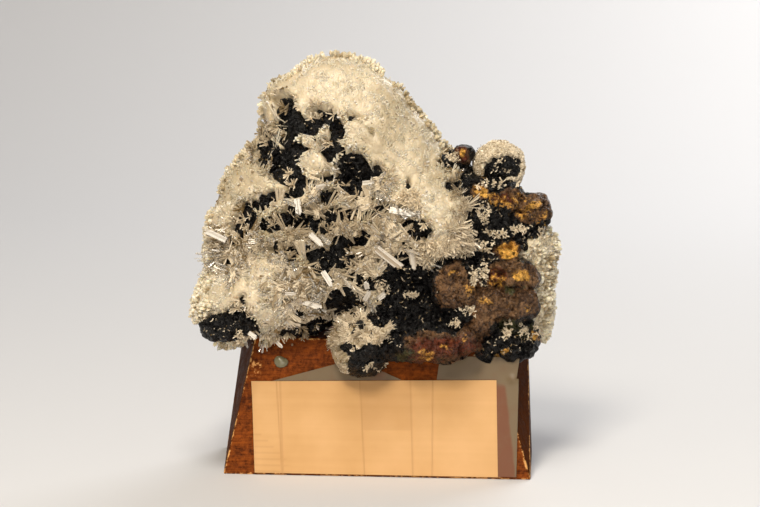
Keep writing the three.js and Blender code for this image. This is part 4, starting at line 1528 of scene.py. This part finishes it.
        window_teeth = self.grow(
            (self.snow, 60, snowy, 0.2), (self.edge, 420, edges, 0.25),
            (self.fragment, 110, patches, -1.0),
        )
        sheaf = self.grow((self.needles, 90, fringe, -1.0))
        teeth = self.grow((self.tooth, 700, toothed, 0.3), (self.stub, 210, blocky, 0.3))
        # Painted highlights: the flash blades and glints are whiter crystals that stand in for flashes
        # of light
        flashes = Crystals.joined([
            self.flash_blades(),
            self.grow((self.glint, 320, fine, 0.5), (self.glint, 420, coarse, 0.2)),
        ])
        clumps = Crystals.joined([
            self.clump_crystals(), self.specks(), self.nodule_clumps(KNOB), self.nodule_clumps(LOBE),
        ])
        plates = self.grow((self.rugged, 300, rough, 0.3, wedge_fans))
        needle, prism, blade = CrystalForm
        pieces += self.split("druse", druse, milky)
        pieces += [self.piece(*row) for row in (
            ("nodule_crystals", nodules, prism, bright, 0.35),
            ("rosettes", rosettes, needle, bright, 0.8),
            ("striated_wedges", wedges, prism, bright, 0.5),
            ("sheaf_needles", sheaf, prism, bright, 0.6),
            ("rim_teeth", teeth, needle, milky, 0.5),
            ("white_clumps", clumps, blade, bright, 0.4),
            ("clear_blades", clear_blades, blade, ClearCrystal().make(), 0.25),
            ("window_teeth", window_teeth, prism, bright, 0.5),
            ("rugged_plates", plates, prism, bright, 0.5),
            ("flash_blades", flashes, blade, glassy, 0.25),
        )]
        return pieces

    @staticmethod
    def piece(
        name: str,
        crystals: Crystals,
        form: CrystalForm,
        material: Material,
        taper: float,
    ) -> Object:
        """One set of crystals as a piece, without those that stick out too far."""
        kept = crystals.where(within_room(crystals.tips()))
        return add_piece(crystal_mesh(name, kept, form, taper), material)

    def grow(self, *rows: tuple) -> Crystals:
        """Fans on the specimen, without the crystals whose tips would cover a window.

        Args:
            rows: For each kind of fan its style, how many there are, how dense they are at
                each point of the outer skin, the least share of crust under a tip, and
                what fills the ground with crystals, if not round fans.

        Returns:
            The crystals of all kinds.
        """
        groups = []
        for style, fan_count, weight, least, *fill in rows:
            ground = Ground.scattered(self.outer, weight + 1e-9, fan_count, self.rng)
            crystals = (fill[0] if fill else fans)(ground, style, self.rng)
            plane = VIEW.from_block(crystals.root)
            # Painted shade: crystals in the shaded zones are darkened
            crystals.tone *= 1.0 - PAINTED_SHADE_DARKENS * painted_shade_share(plane)
            rugged = ellipse_share(plane, RUGGED_GROUND, 0.8)
            crystals.tone += rugged * (1.5 * rough_noise(plane, 0.8, 101) - 0.1)
            groups.append(self.over_crust(crystals, least))
        return Crystals.joined(groups)

    def over_crust(self, crystals: Crystals, least: float) -> Crystals:
        """The crystals whose middles and tips have at least that share of crust under them."""
        halfway = (crystals.tips() + crystals.root) / 2.0
        under = self.skin.crust_share(VIEW.from_block(crystals.tips()))
        under = np.minimum(under, self.skin.crust_share(VIEW.from_block(halfway)))
        return crystals.where(under > least)

    def window_edges(self) -> ndarray:
        """Weight of the ground along the windows' rims."""
        edge = smooth(1.0 - np.abs(self.share - 0.6) / 0.4)
        return edge * smooth((-3.0 - self.outer.plane[:, 1]) / 3.0)

    def window_patches(self) -> ndarray:
        """Weight of the small patches of crystals inside the front's windows."""
        plane = self.outer.plane
        patches = smooth((rough_noise(plane, 1.9, 57) - 0.14) / 0.1)
        patches = patches * (1.0 - ellipse_share(plane, OPEN_WINDOWS))
        return ellipse_share(plane, BLACK_WINDOWS) * patches * smooth((-3.0 - plane[:, 1]) / 3.0)

    @staticmethod
    def view_rim(sheet: Sheet) -> ndarray:
        """Share of a sheet that is seen edge-on from the front, at each point."""
        facing = np.abs(sheet.normals() @ np.array([-0.09, 0.98, -0.16]))
        return smooth((0.55 - facing) / 0.35) * smooth((10.0 - sheet.plane[:, 1]) / 4.0)

    def crust_skin(self, material: Material) -> Object:
        """The cloudy mass that the crystals stand on."""
        sheet = self.skin.sheet(210, 420, SkinRule.CRUST)
        rim = self.view_rim(self.skin.sheet(210, 420, SkinRule.OUTER))
        rim = rim * rim_patches(sheet.points)
        swell = mix(0.7, 1.7, rim) * grains(sheet.points, 2.3, 93) - mix(0.3, 0.75, rim)
        lift = swell + 0.25 * grains(sheet.points, 1.2, 95) - 0.1
        points = self.block.clear(sheet.points + sheet.normals() * lift[:, None])
        tone = 0.52 + 0.1 * rough_noise(points, 6.0, 95) - 0.4 * coarse_share(sheet.plane)
        # Painted shade: the skin is darkened in the shaded zones as well
        tone *= 1.0 - 0.6 * painted_shade_share(sheet.plane)
        mesh = new_mesh("crust_skin", points, sheet.faces, tone=tone)
        nodes = ("crystal_crust_main", "crystal_crust_right")
        return add_piece(mesh, material, nodes)

    @staticmethod
    def cover(nodule: Nodule, plane: ndarray) -> ndarray:
        """Share of crystals on a nodule at each place (rows of u, y, v)."""
        bare = ellipse_share(ragged(plane, plane, 2.2, 1.4, (37, 39)), nodule.windows, 0.25)
        is_front = plane[:, 1] < nodule.middle[1] + 2.0
        low = np.where(is_front, nodule.low, nodule.back_low)
        return np.where(is_front, 1.0 - bare, 1.0) * smooth((plane[:, 2] - low) / 1.5)

    def shell(self, nodule: Nodule, material: Material, nodes: tuple[str, ...]) -> Object:
        """The cloudy shell of a nodule, sunk into its core where it is bare."""
        sheet = ball(nodule.middle, nodule.shell, 70, 81)
        middle = np.array(nodule.middle)
        size = mix(0.7, 1.0, self.cover(nodule, sheet.plane))
        plane = middle + (sheet.plane - middle) * size[:, None]
        points = self.block.clear(VIEW.to_block(plane))
        tone = np.full(len(points), nodule.tone)
        mesh = new_mesh(nodule.name, points, sheet.faces, tone=tone)
        return add_piece(mesh, material, nodes)

    def nodule_druse(self, nodule: Nodule) -> Crystals:
        """Short crystals on a nodule, outside its windows."""
        sheet = ball(nodule.middle, nodule.shell, 40, 81)
        weight = self.cover(nodule, sheet.plane) + 1e-9
        dense = weight * ellipse_share(sheet.plane, nodule.dense)
        blunt = Ground.scattered(sheet, weight, nodule.blunt_count, self.rng)
        flat = Ground.scattered(sheet, dense, nodule.flat_count, self.rng)
        crystals = Crystals.joined(
            [fans(blunt, self.cap, self.rng), wedge_fans(flat, self.plate, self.rng)]
        )
        # Painted shade: the nodule's crystals are darkened in the shaded zones
        crystals.tone *= 1.0 - PAINTED_SHADE_DARKENS * painted_shade_share(VIEW.from_block(crystals.root))
        plane = VIEW.from_block(crystals.tips())
        crystals.tone[ellipse_share(plane, (WHITE_CAP,)) > 0.5] = 1.0
        return crystals.where(self.cover(nodule, plane) > 0.5)

    def nodule_clumps(self, nodule: Nodule) -> Crystals:
        """Loose crystals in a nodule's windows."""
        sheet = ball(nodule.middle, nodule.core, 40, 81)
        weight = ellipse_share(sheet.plane, nodule.clumps, 0.6)
        weight *= smooth((nodule.middle[1] + 1.0 - sheet.plane[:, 1]) / 2.0)
        return fans(Ground.scattered(sheet, weight + 1e-9, 34, self.rng), self.clump, self.rng)

    def split(self, name: str, druse: Crystals, material: Material) -> list[Object]:
        """Parts the druse by height into pieces of a handy size."""
        level = VIEW.from_block(druse.root)[:, 2]
        cuts = np.quantile(level, (0.25, 0.5, 0.75))
        zone = np.searchsorted(cuts, level)
        return [
            self.piece(f"{name}_{place}", druse.where(zone == k), CrystalForm.NEEDLE, material, 0.35)
            for k, place in enumerate(("foot", "low", "high", "crown"))
        ]

    def at_view(self, u: float, v: float) -> tuple[ndarray, ndarray]:
        """The front's nearest point to a place of the view, and the direction square to it."""
        plane = self.outer.plane
        away = np.hypot(plane[:, 0] - u, plane[:, 2] - v) + np.where(plane[:, 1] < 0, 0.0, 99.0)
        nearest = int(np.argmin(away))
        return self.outer.points[nearest], self.outer.normals()[nearest]

    def spray_blades(self) -> Crystals:
        """The named fans of large clear blades."""
        groups = []
        for (u, v), length, lean in self.sprays:
            point, normal = self.at_view(u, v)
            axis = unit(normal + 0.9 * np.array([lean[0], 0.0, lean[1]]))
            style = replace(self.spray, reach=(0.95 * length, 1.05 * length))
            groups.append(fans(Ground(point[None], axis[None]), style, self.rng))
        return Crystals.joined(groups)

    def flash_blades(self) -> Crystals:
        """The large striated crystals, each of five thin ones side by side, facing front, whose whiter
        tones are painted flashes of light.
        """
        strips = np.arange(5) - 2.0
        groups = []
        for (u, v), angle, forward, length, width, painted_flash_tone in self.flashes:
            point, _ = self.at_view(u, v)
            turn = math.radians(angle)
            along = unit(np.array([math.cos(turn), -forward, math.sin(turn)]))
            across = unit(np.cross(along, np.array([0.05, -1.0, 0.35])))
            root = point + np.array([0.0, -1.8, 0.0]) + strips[:, None] * across * (width / 5.5)
            ends = length * (1.0 - 0.3 * self.rng.random(5) * np.abs(strips) / 2.0)
            thin = np.full(5, width / 4.0)
            rows = (np.tile(along, (5, 1)), np.tile(across, (5, 1)))
            # Painted highlight: each blade's tone sets how white it flashes
            tone = np.clip(painted_flash_tone + self.rng.normal(0.0, 0.2, 5), 0.0, 1.0)
            groups.append(Crystals(root, *rows, ends, thin, 0.9 * thin, tone))
        return Crystals.joined(groups)

    def rock_ground(self, rows: ndarray) -> Ground:
        """Places on the rock's own front, from the nearest of its points in cells of 0.8 mm.

        Args:
            rows: Places as u, any depth, v.

        Returns:
            The ground, without the places that have no rock.
        """
        def cells(plane: ndarray) -> tuple[ndarray, ndarray]:
            """Numbers of each place's cell, across and up."""
            return tuple(np.floor(np.stack([plane[:, 0] + 60.0, plane[:, 2]]) / 0.8).astype(int))

        rock = VIEW.from_block(self.rock)
        nearest = np.full((160, 160), 99.0)
        np.minimum.at(nearest, cells(rock), rock[:, 1])
        plane = np.stack([rows[:, 0], nearest[cells(rows)], rows[:, 2]], axis=-1)
        points = VIEW.to_block(plane[plane[:, 1] < 50.0])
        return Ground(points, np.tile(unit(np.array([0.0, -1.0, 0.25])), (len(points), 1)))

    def clump_crystals(self) -> Crystals:
        """Close clumps of small white crystals on the bare rock."""
        u, v, wide, high = np.repeat(np.array(WHITE_CLUMPS, dtype=float), 18, axis=0).T
        across, up = self.rng.normal(0.0, 0.45, (2, len(u)))
        rows = np.stack([u + wide * across, 0.0 * u, v + high * up], axis=-1)
        return fans(self.rock_ground(rows), self.clump, self.rng)

    def specks(self) -> Crystals:
        """Tiny crystals that glint all over the black ground."""
        weight = (1.0 - self.share) * smooth((-2.0 - self.outer.plane[:, 1]) / 3.0)
        ground = Ground.scattered(self.outer, weight + 1e-9, 600, self.rng)
        ground = self.rock_ground(VIEW.from_block(ground.points))
        is_black = MatrixRock.zones(ground.points)["brown"] < 0.3
        style = FanStyle((0.3, 0.8), 2, 1.4, 0.4, 0.4, 0.3, (0.4, 0.3))
        return fans(Ground(ground.points[is_black], ground.axes[is_black]), style, self.rng)


# The display block and what lies on it


@dataclass(frozen=True)
class VarnishedWood:
    """Mahogany-like wood under an old shellac: warm red-brown and scratched, pale at its edges where
    scuffed and where highlights are painted, with painted shade on its sides.
    """

    light: str = "8c4616"
    dark: str = "401b06"
    # Pale colour of scuffed edges and of painted highlights
    pale_wear_and_highlight: str = "d8a060"
    # Painted shade of the block's sides
    shaded: str = "3c1e08"

    def make(self) -> Material:
        """Wood material: long grain, fine pores, crossing scratches, patchy gloss, pale edges that are
        partly scuffed and partly painted highlight, and painted shade on the sides.
        """
        material, add = new_material("shellacked mahogany")
        place = add("TexCoord", output="Object")
        # Grain runs along the block: bands about 3 mm apart, pores about 0.4 mm wide
        along = add("Mapping", {"Vector": place, "Scale": (40.0, 330.0, 330.0)})
        grain = add("TexNoise", {"Vector": along, "Scale": 1.0, "Detail": 5.0, "Distortion": 0.6})
        fine = add("Mapping", {"Vector": place, "Scale": (220.0, 2600.0, 2600.0)})
        pores = add("TexNoise", {"Vector": fine, "Scale": 1.0, "Detail": 2.0})
        # Two families of scratches of the old finish, about 1 mm apart, that cross
        scratches = []
        for turn in (0.8, -0.7):
            turned = {"Rotation": (0.0, turn, 0.0), "Scale": (150.0, 300.0, 1900.0)}
            turned = add("Mapping", turned | {"Vector": place})
            values = {"Vector": turned, "Scale": 1.0, "Detail": 2.0, "Roughness": 0.7}
            scratches.append(add("TexNoise", values))
        crossed = add("Math", dict(enumerate(scratches)), operation="MAXIMUM")
        # Dirt and lost finish: blotches about 1.5 mm across, with dark pits
        blotch = add("TexNoise", {"Vector": place, "Scale": 800.0, "Detail": 6.0, "Roughness": 0.75})
        mixed = add("Math", {0: grain, 1: 0.45, 2: blotch}, operation="MULTIPLY_ADD")
        mixed = add("Math", {0: pores, 1: 0.3, 2: mixed}, operation="MULTIPLY_ADD")
        mixed = add("MapRange", {"Value": mixed, "From Min": 0.7, "From Max": 1.05})
        # Painted shade: the sides are mixed towards the darker shaded colour
        side = add("Attribute", output="Fac", attribute_name="side")
        # Pale edges, partly scuffed and partly painted highlight, and a painted highlight at the high
        # left corner
        wear = add("Attribute", output="Fac", attribute_name="wear")
        chips_and_highlights = add("Math", {0: blotch, 1: 2.2, 2: wear}, operation="MULTIPLY_ADD")
        chips_and_highlights = add("MapRange", {"Value": chips_and_highlights, "From Min": 1.6, "From Max": 1.75})
        colour = linear(self.dark)
        for share, tint in ((mixed, self.light), (side, self.shaded), (chips_and_highlights, self.pale_wear_and_highlight)):
            values = {0: share, 6: colour, 7: linear(tint)}
            colour = add("Mix", values, 2, data_type="RGBA")
        # The sides get no specular reflection, which keeps their painted shade dark
        sheen = add("Math", {0: side, 1: -0.12, 2: 0.12}, operation="MULTIPLY_ADD")
        height = add("Math", {0: blotch, 1: 1.0, 2: crossed}, operation="MULTIPLY_ADD")
        bump = add("Bump", {"Height": height, "Strength": 0.5, "Distance": 0.0003})
        gloss = add("MapRange", {
            "Value": grain, "From Min": 0.35, "From Max": 0.75, "To Min": 0.35, "To Max": 0.65,
        })
        shader = add("BsdfPrincipled", {
            "Base Color": colour, "Normal": bump, "Roughness": gloss,
            "IOR": 1.3, "Specular IOR Level": sheen,
        })
        add("OutputMaterial", {"Surface": shader})
        return material


@dataclass(frozen=True)
class AgedPaper:
    """Old typing paper: yellowed cellulose, matt, with faint laid lines and stained seams."""

    light: str = "dcb07c"
    dark: str = "cc9f68"
    seam: str = "a87a4c"

    def make(self) -> Material:
        """Paper material: broad yellowing, laid lines 1.4 mm apart, darker seams."""
        material, add = new_material("aged typing paper")
        place = add("TexCoord", output="Object")
        cloud = add("TexNoise", {"Vector": place, "Scale": 60.0, "Detail": 4.0})
        laid = add("Mapping", {"Vector": place, "Scale": (12.0, 700.0, 700.0)})
        fibre = add("TexNoise", {"Vector": laid, "Scale": 1.0, "Detail": 3.0})
        total = add("Math", {0: fibre, 1: 0.25, 2: cloud}, operation="MULTIPLY_ADD")
        total = add("MapRange", {"Value": total, "From Min": 0.4, "From Max": 0.85})
        stain = add("Attribute", output="Fac", attribute_name="stain")
        colour = linear(self.dark)
        for share, tint in ((total, self.light), (stain, self.seam)):
            values = {0: share, 6: colour, 7: linear(tint)}
            colour = add("Mix", values, 2, data_type="RGBA")
        values = {"Base Color": colour, "Roughness": 0.8, "IOR": 1.45, "Specular IOR Level": 0.25}
        add("OutputMaterial", {"Surface": add("BsdfPrincipled", values)})
        return material


@dataclass(frozen=True)
class OldTape:
    """Old clear adhesive tape: grey and cloudy where loose, pinkish brown where it still sticks."""

    loose: str = "7c6a50"
    stuck: str = "7c4e34"
    alpha: float = 0.8

    def make(self) -> Material:
        """Tape material: a cloudy film that lets a little of the wood show through."""
        material, add = new_material("old cellulose tape")
        place = add("TexCoord", output="Object")
        cloud = add("TexNoise", {"Vector": place, "Scale": 240.0, "Detail": 4.0, "Roughness": 0.6})
        stuck = add("Attribute", output="Fac", attribute_name="stuck")
        uneven = add("Math", {0: cloud, 1: -0.5}, operation="ADD")
        share = add("Math", {0: stuck, 1: uneven}, operation="ADD", use_clamp=True)
        ends = {0: share, 6: linear(self.loose), 7: linear(self.stuck)}
        shader = add("BsdfPrincipled", {
            "Base Color": add("Mix", ends, 2, data_type="RGBA"),
            "Normal": add("Bump", {"Height": cloud, "Strength": 0.4, "Distance": 0.0003}),
            "Roughness": 0.4, "Specular IOR Level": 0.3, "Alpha": self.alpha,
        })
        add("OutputMaterial", {"Surface": shader})
        return material


@dataclass(frozen=True)
class DriedGlue:
    """A drop of dried white glue: cloudy grey-green, smooth and shiny."""

    tint: str = "8f8a6c"

    def make(self) -> Material:
        """Glue material: a glossy, slightly see-through drop."""
        material, add = new_material("dried glue")
        values = {"Base Color": linear(self.tint), "Roughness": 0.2, "Transmission Weight": 0.4}
        add("OutputMaterial", {"Surface": add("BsdfPrincipled", values)})
        return material


@dataclass(frozen=True)
class Strip:
    """A thin sheet on the block's front.

    Attributes:
        name: The piece's name.
        node: The node that it is shown in place of.
        corners: Low left, low right, high right and high left, as (x, up).
        cells: Cells across and up.
        thick: Its thickness in mm.
    """

    name: str
    node: str
    corners: tuple[tuple[float, float], ...]
    cells: tuple[int, int]
    thick: float

    def shares(self) -> tuple[ndarray, ndarray]:
        """Shares across and up at each grid point."""
        return np.meshgrid(
            np.linspace(0.0, 1.0, self.cells[0] + 1),
            np.linspace(0.0, 1.0, self.cells[1] + 1),
            indexing="ij",
        )

    def places(self) -> ndarray:
        """The corners blended across and up: (x, up) at each grid point."""
        across, rise = self.shares()
        low_left, low_right, high_right, high_left = np.array(self.corners)
        low = mix(low_left, low_right, across[..., None])
        return mix(low, mix(high_left, high_right, across[..., None]), rise[..., None])


@dataclass
class BlockFront:
    """The leaning front of the block, which carries the paper, the tape and the glue."""

    block: WoodBlock

    def at(self, x: ndarray, up: ndarray, lift: ndarray | float) -> ndarray:
        """Places on the front: x across, up along its slope, and lift off the wood."""
        lean = math.atan2(self.block.top[0][1] - self.block.foot[0][1], self.block.height)
        y = self.block.foot[0][1] + up * math.sin(lean) - lift * math.cos(lean)
        z = up * math.cos(lean) + lift * math.sin(lean)
        return np.stack(np.broadcast_arrays(x, y, z), axis=-1)

    def plate(self, strip: Strip, lift: ndarray) -> Mesh:
        """The closed mesh of a strip.

        Args:
            strip: The strip.
            lift: How far its back stands off the wood at each grid point.

        Returns:
            The mesh.
        """
        flat = strip.places()
        front = self.at(flat[..., 0], flat[..., 1], lift + strip.thick).reshape(-1, 3)
        back = self.at(flat[..., 0], flat[..., 1], lift).reshape(-1, 3)
        number = np.arange(lift.size).reshape(lift.shape)
        quads = grid_faces(*lift.shape)
        rim = np.concatenate([number[:, 0], number[-1, 1:], number[-2::-1, -1], number[0, -2:0:-1]])
        after = np.roll(rim, -1)
        edge = np.stack([rim, rim + lift.size, after + lift.size, after], axis=-1)
        faces = np.vstack([quads, quads[:, ::-1] + lift.size, edge])
        return new_mesh(strip.name, np.vstack([front, back]), [faces], False)


@dataclass
class Display:
    """The block with its paper, tape and glue."""

    block: WoodBlock
    paper: Strip = Strip(
        "paper_slip", "paper_label",
        ((-30.7, 0.5), (33.7, 0.5), (32.7, 25.8), (-32.0, 24.4)), (230, 60), 0.18,
    )
    tapes: tuple[Strip, ...] = (
        Strip("tape_beside", "tape_side",
              ((33.0, 0.6), (37.8, 0.6), (38.0, 26.2), (32.2, 26.2)), (24, 60), 0.08),
        Strip("tape_above", "tape_top",
              ((16.6, 25.6), (37.4, 26.0), (38.2, 31.8), (17.4, 31.8)), (60, 24), 0.08),
        Strip("tape_corner", "tape_left",
              ((-26.5, 24.6), (7.4, 25.4), (-2.0, 29.4), (-9.5, 29.4)), (60, 24), 0.08),
    )

    glue_at: tuple[float, float] = (-24.5, 29.6)
    glue_radius: float = 1.7
    glue_height: float = 0.95

    # Seams of old tape over the paper: share across, and its lean
    seams: tuple[tuple[float, float], ...] = (
        (0.10, 0.012), (0.44, 0.008), (0.645, 0.0), (0.735, -0.012), (0.115, 0.0),
    )

    def build(self) -> list[Object]:
        """Makes the block and everything on its front."""
        front = BlockFront(self.block)
        wood = VarnishedWood().make()
        pieces = [add_piece(self.wood_mesh(), wood, ("wood_block",))]
        mesh = front.plate(self.paper, self.paper_lift())
        write_attribute(mesh, "stain", np.tile(self.paper_stain().ravel(), 2))
        pieces.append(add_piece(mesh, AgedPaper().make(), (self.paper.node,)))
        film = OldTape().make()
        for strip in self.tapes:
            mesh = front.plate(strip, self.tape_lift(strip))
            write_attribute(mesh, "stuck", np.tile(self.tape_hold(strip).ravel(), 2))
            pieces.append(add_piece(mesh, film, (strip.node,)))
        pieces.append(self.glue(front))
        return pieces

    def wood_mesh(self) -> Mesh:
        """The block with rounded edges, in cells fine enough to carry its pale edges and corner."""
        points, quads = self.block.surface(0.55, 0.35)
        mesh = new_mesh("wood_block_surface", points, [quads], False, wear=self.wear(points))
        normals = np.empty(len(points) * 3)
        mesh.vertex_normals.foreach_get("vector", normals)
        # Painted shade: faces turned to the left and right get the darker side colour
        write_attribute(mesh, "side", 0.8 * smooth(np.abs(normals[::3]) * 4.0 - 2.0))
        return mesh

    def wear(self, points: ndarray) -> ndarray:
        """Pale finish: along the edges, where it is partly scuffed and partly painted highlight, and a
        painted highlight at the high left corner.
        """
        c = self.block.corners()
        edges = [(0, 1), (1, 2), (2, 3), (3, 0), (4, 5), (5, 6), (6, 7), (7, 4), (0, 4), (1, 5)]
        edges += [(2, 6), (3, 7), (1, 6), (0, 7)]
        nearest = np.full(len(points), 99.0)
        for start, stop in edges:
            run = c[stop] - c[start]
            share = np.clip((points - c[start]) @ run / (run @ run), 0.0, 1.0)
            away = points - c[start] - share[:, None] * run
            nearest = np.minimum(nearest, np.linalg.norm(away, axis=1))
        # Along the edges: partly scuffed finish, partly painted highlight
        edge_wear_and_highlight = smooth((0.9 - nearest) / 0.9) * (0.6 + 0.5 * rough_noise(points, 6.0, 7))
        # Painted highlight: a pale patch at the high left corner of the front
        corner = np.linalg.norm((points - np.array([-31.0, -10.5, 27.0])) / [3.4, 3.0, 3.6], axis=1)
        return np.maximum(edge_wear_and_highlight, 0.42 * smooth((1.2 - corner) / 0.7))

    def paper_lift(self) -> ndarray:
        """The paper's stand-off: a gentle wave, and a curl at its high left corner."""
        across, rise = self.paper.shares()
        wave = 0.12 * np.sin(9.0 * across + 1.0) * np.sin(3.0 * rise)
        corner = np.clip((rise - 0.7) / 0.3 + (0.09 - across) / 0.09 - 1.0, 0.0, 1.0)
        left = np.clip((0.03 - across) / 0.03, 0.0, 1.0)
        return 0.35 + wave + 1.1 * corner**2 + 0.3 * left**2

    def paper_stain(self) -> ndarray:
        """Share of stain: thin seams where tape ended, warmer patches between, and edges."""
        across, rise = self.paper.shares()
        total = np.zeros_like(across)
        for place, lean in self.seams:
            away = np.abs(across - place - lean * (1.0 - rise)) * 64.0
            total = np.maximum(total, 0.5 * np.exp(-((away / 0.2) ** 2)))
        patch = (across > 0.44) & (across < 0.645) & (rise > 0.48)
        total = np.maximum(total, 0.2 * patch)
        lines = np.sin(95.0 * rise + 2.0 * across) > 0.93
        left = smooth((0.16 - across) / 0.05)
        return np.maximum(total, 0.2 * lines * left + 0.05)

    @staticmethod
    def tape_lift(strip: Strip) -> ndarray:
        """The tape's stand-off: over the paper's edge, with a fold at the block's corner."""
        place = strip.places()
        fold = np.exp(-(((place[..., 0] - 36.6) ** 2) / 1.6 + (place[..., 1] - 26.0) ** 2 / 1.2))
        wave = 0.04 * np.sin(0.9 * place[..., 0]) * np.sin(0.7 * place[..., 1] + 1.0)
        return 0.6 + wave + 0.5 * fold

    @staticmethod
    def tape_hold(strip: Strip) -> ndarray:
        """Share of the tape that still sticks: the left of the strip beside the paper."""
        x, up = strip.places()[..., 0], strip.places()[..., 1]
        beside = smooth((38.2 - 0.13 * up - x) / 1.0) * smooth((25.5 - up) / 2.0)
        corner = np.exp(-(((x - 1.0) / 3.0) ** 2 + ((up - 28.0) / 3.0) ** 2))
        return np.maximum(beside * (x > 30.0), 0.8 * corner)

    def glue(self, front: BlockFront) -> Object:
        """The glue: a low dome whose height is the square root of 1 minus radius squared."""
        rings, columns = 12, 32
        radius, angle = np.meshgrid(
            np.linspace(0.0, 1.0, rings + 1)[1:],
            np.arange(columns) * (2.0 * math.pi / columns),
            indexing="ij",
        )
        middle_x, middle_up = self.glue_at
        uneven = 1.0 + 0.12 * np.cos(2.0 * angle + 0.6) + 0.06 * np.cos(3.0 * angle)
        x = middle_x + self.glue_radius * uneven * radius * np.cos(angle)
        up = middle_up + self.glue_radius * uneven * radius * np.sin(angle)
        rise = self.glue_height - 0.05
        points = np.vstack([
            front.at(x, up, 0.05 + rise * np.sqrt(1.0 - 0.98 * radius**2)).reshape(-1, 3),
            front.at(x[-1], up[-1], 0.02),
            front.at(middle_x, middle_up, self.glue_height),
            front.at(middle_x, middle_up, 0.02),
        ])
        mesh = new_mesh("glue_dome", points, ball_faces(rings + 1, columns))
        return add_piece(mesh, DriedGlue().make(), ("glue_drop",))


# The studio


@dataclass
class Studio:
    """Pale floor, soft lights and the camera at the photograph's angle."""

    focal_mm: float = 152.5
    sensor_mm: float = 36.0

    def build(self) -> None:
        """Makes the camera, the floor and the lights."""
        self.camera()
        self.floor()
        self.light("key", (-0.12, -0.74, 0.74), 0.25, 7.0, "fff4e2")
        self.light("top", (-0.02, -0.32, 0.8), 0.25, 2.8, "fffaf0")
        self.light("front", (0.1, -1.0, 0.14), 0.4, 2.5, "fff4e8")
        self.light("left", (-0.6, -0.5, 0.3), 0.3, 0.3, "ffe4c8")
        self.light("back", (0.3, 0.7, 0.5), 0.5, 4.0, "ffffff")
        world = bpy.data.worlds.new("studio")
        world.use_nodes = True
        sky = world.node_tree.nodes["Background"].inputs
        sky["Color"].default_value = linear("e6e6ea")
        sky["Strength"].default_value = 0.12
        bpy.context.scene.world = world
        bpy.context.scene.view_settings.view_transform = "Standard"

    def camera(self) -> None:
        """The camera: it stands off from the specimen's middle, above and to the right."""
        data = bpy.data.cameras.new("camera")
        data.lens = self.focal_mm
        data.sensor_width = self.sensor_mm
        data.clip_start = 0.05
        camera = bpy.data.objects.new("camera", data)
        bpy.context.scene.collection.objects.link(camera)
        rise = math.radians(VIEW.rise_deg)
        turn = math.radians(VIEW.turn_deg)
        target = VIEW.to_block(np.array([[VIEW.side, 0.0, VIEW.height]]))[0]
        off = VIEW.distance * np.array(
            [math.sin(turn) * math.cos(rise), -math.cos(turn) * math.cos(rise), math.sin(rise)]
        )
        camera.location = tuple((target + off) * MM)
        camera.rotation_euler = (math.pi / 2 - rise, 0.0, turn)
        bpy.context.scene.camera = camera

    def floor(self) -> None:
        """A wide floor that curves up behind the object."""
        run = np.linspace(-1.0, 1.0, 60)
        depth = np.where(run < 0.3, run * 1500.0, 450.0 + 600.0 * np.sin((run - 0.3) * 2.2))
        height = np.where(run < 0.3, 0.0, 700.0 * (1.0 - np.cos((run - 0.3) * 2.2)))
        across = np.linspace(-1600.0, 1600.0, 9)
        x, k = np.meshgrid(across, np.arange(60), indexing="ij")
        points = np.stack([x, depth[k], height[k]], axis=-1).reshape(-1, 3)
        mesh = new_mesh("studio_floor", points, [grid_faces(9, 60)])
        material, add = new_material("pale paper sweep")
        values = {"Base Color": linear("dcdcde"), "Roughness": 0.7}
        add("OutputMaterial", {"Surface": add("BsdfPrincipled", values)})
        mesh.materials.append(material)
        floor = bpy.data.objects.new("studio_floor", mesh)
        bpy.context.scene.collection.objects.link(floor)

    @staticmethod
    def light(name: str, place: Triple, size: float, power: float, colour: str) -> None:
        """A square soft light aimed at the specimen's middle."""
        data = bpy.data.lights.new(name, "AREA")
        data.size = size
        data.energy = power
        data.color = linear(colour)[:3]
        lamp = bpy.data.objects.new(name, data)
        bpy.context.scene.collection.objects.link(lamp)
        away = np.array(place) - np.array([0.0, 0.0, 0.055])
        flat = math.hypot(away[0], away[1])
        lamp.location = place
        lamp.rotation_euler = (math.atan2(flat, away[2]), 0.0, math.atan2(away[0], -away[1]))


def main() -> None:
    """Builds everything in order and notes the sizes."""
    logging.basicConfig(level=logging.INFO, format="%(message)s")
    skin = SpecimenSkin()
    block = WoodBlock()
    Studio().build()
    rock = MatrixRock(skin, block).build()
    CrystalCrust(skin, block, MatrixRock.read(rock.data)[0]).build()
    Display(block).build()


if __name__ == "__main__":
    main()
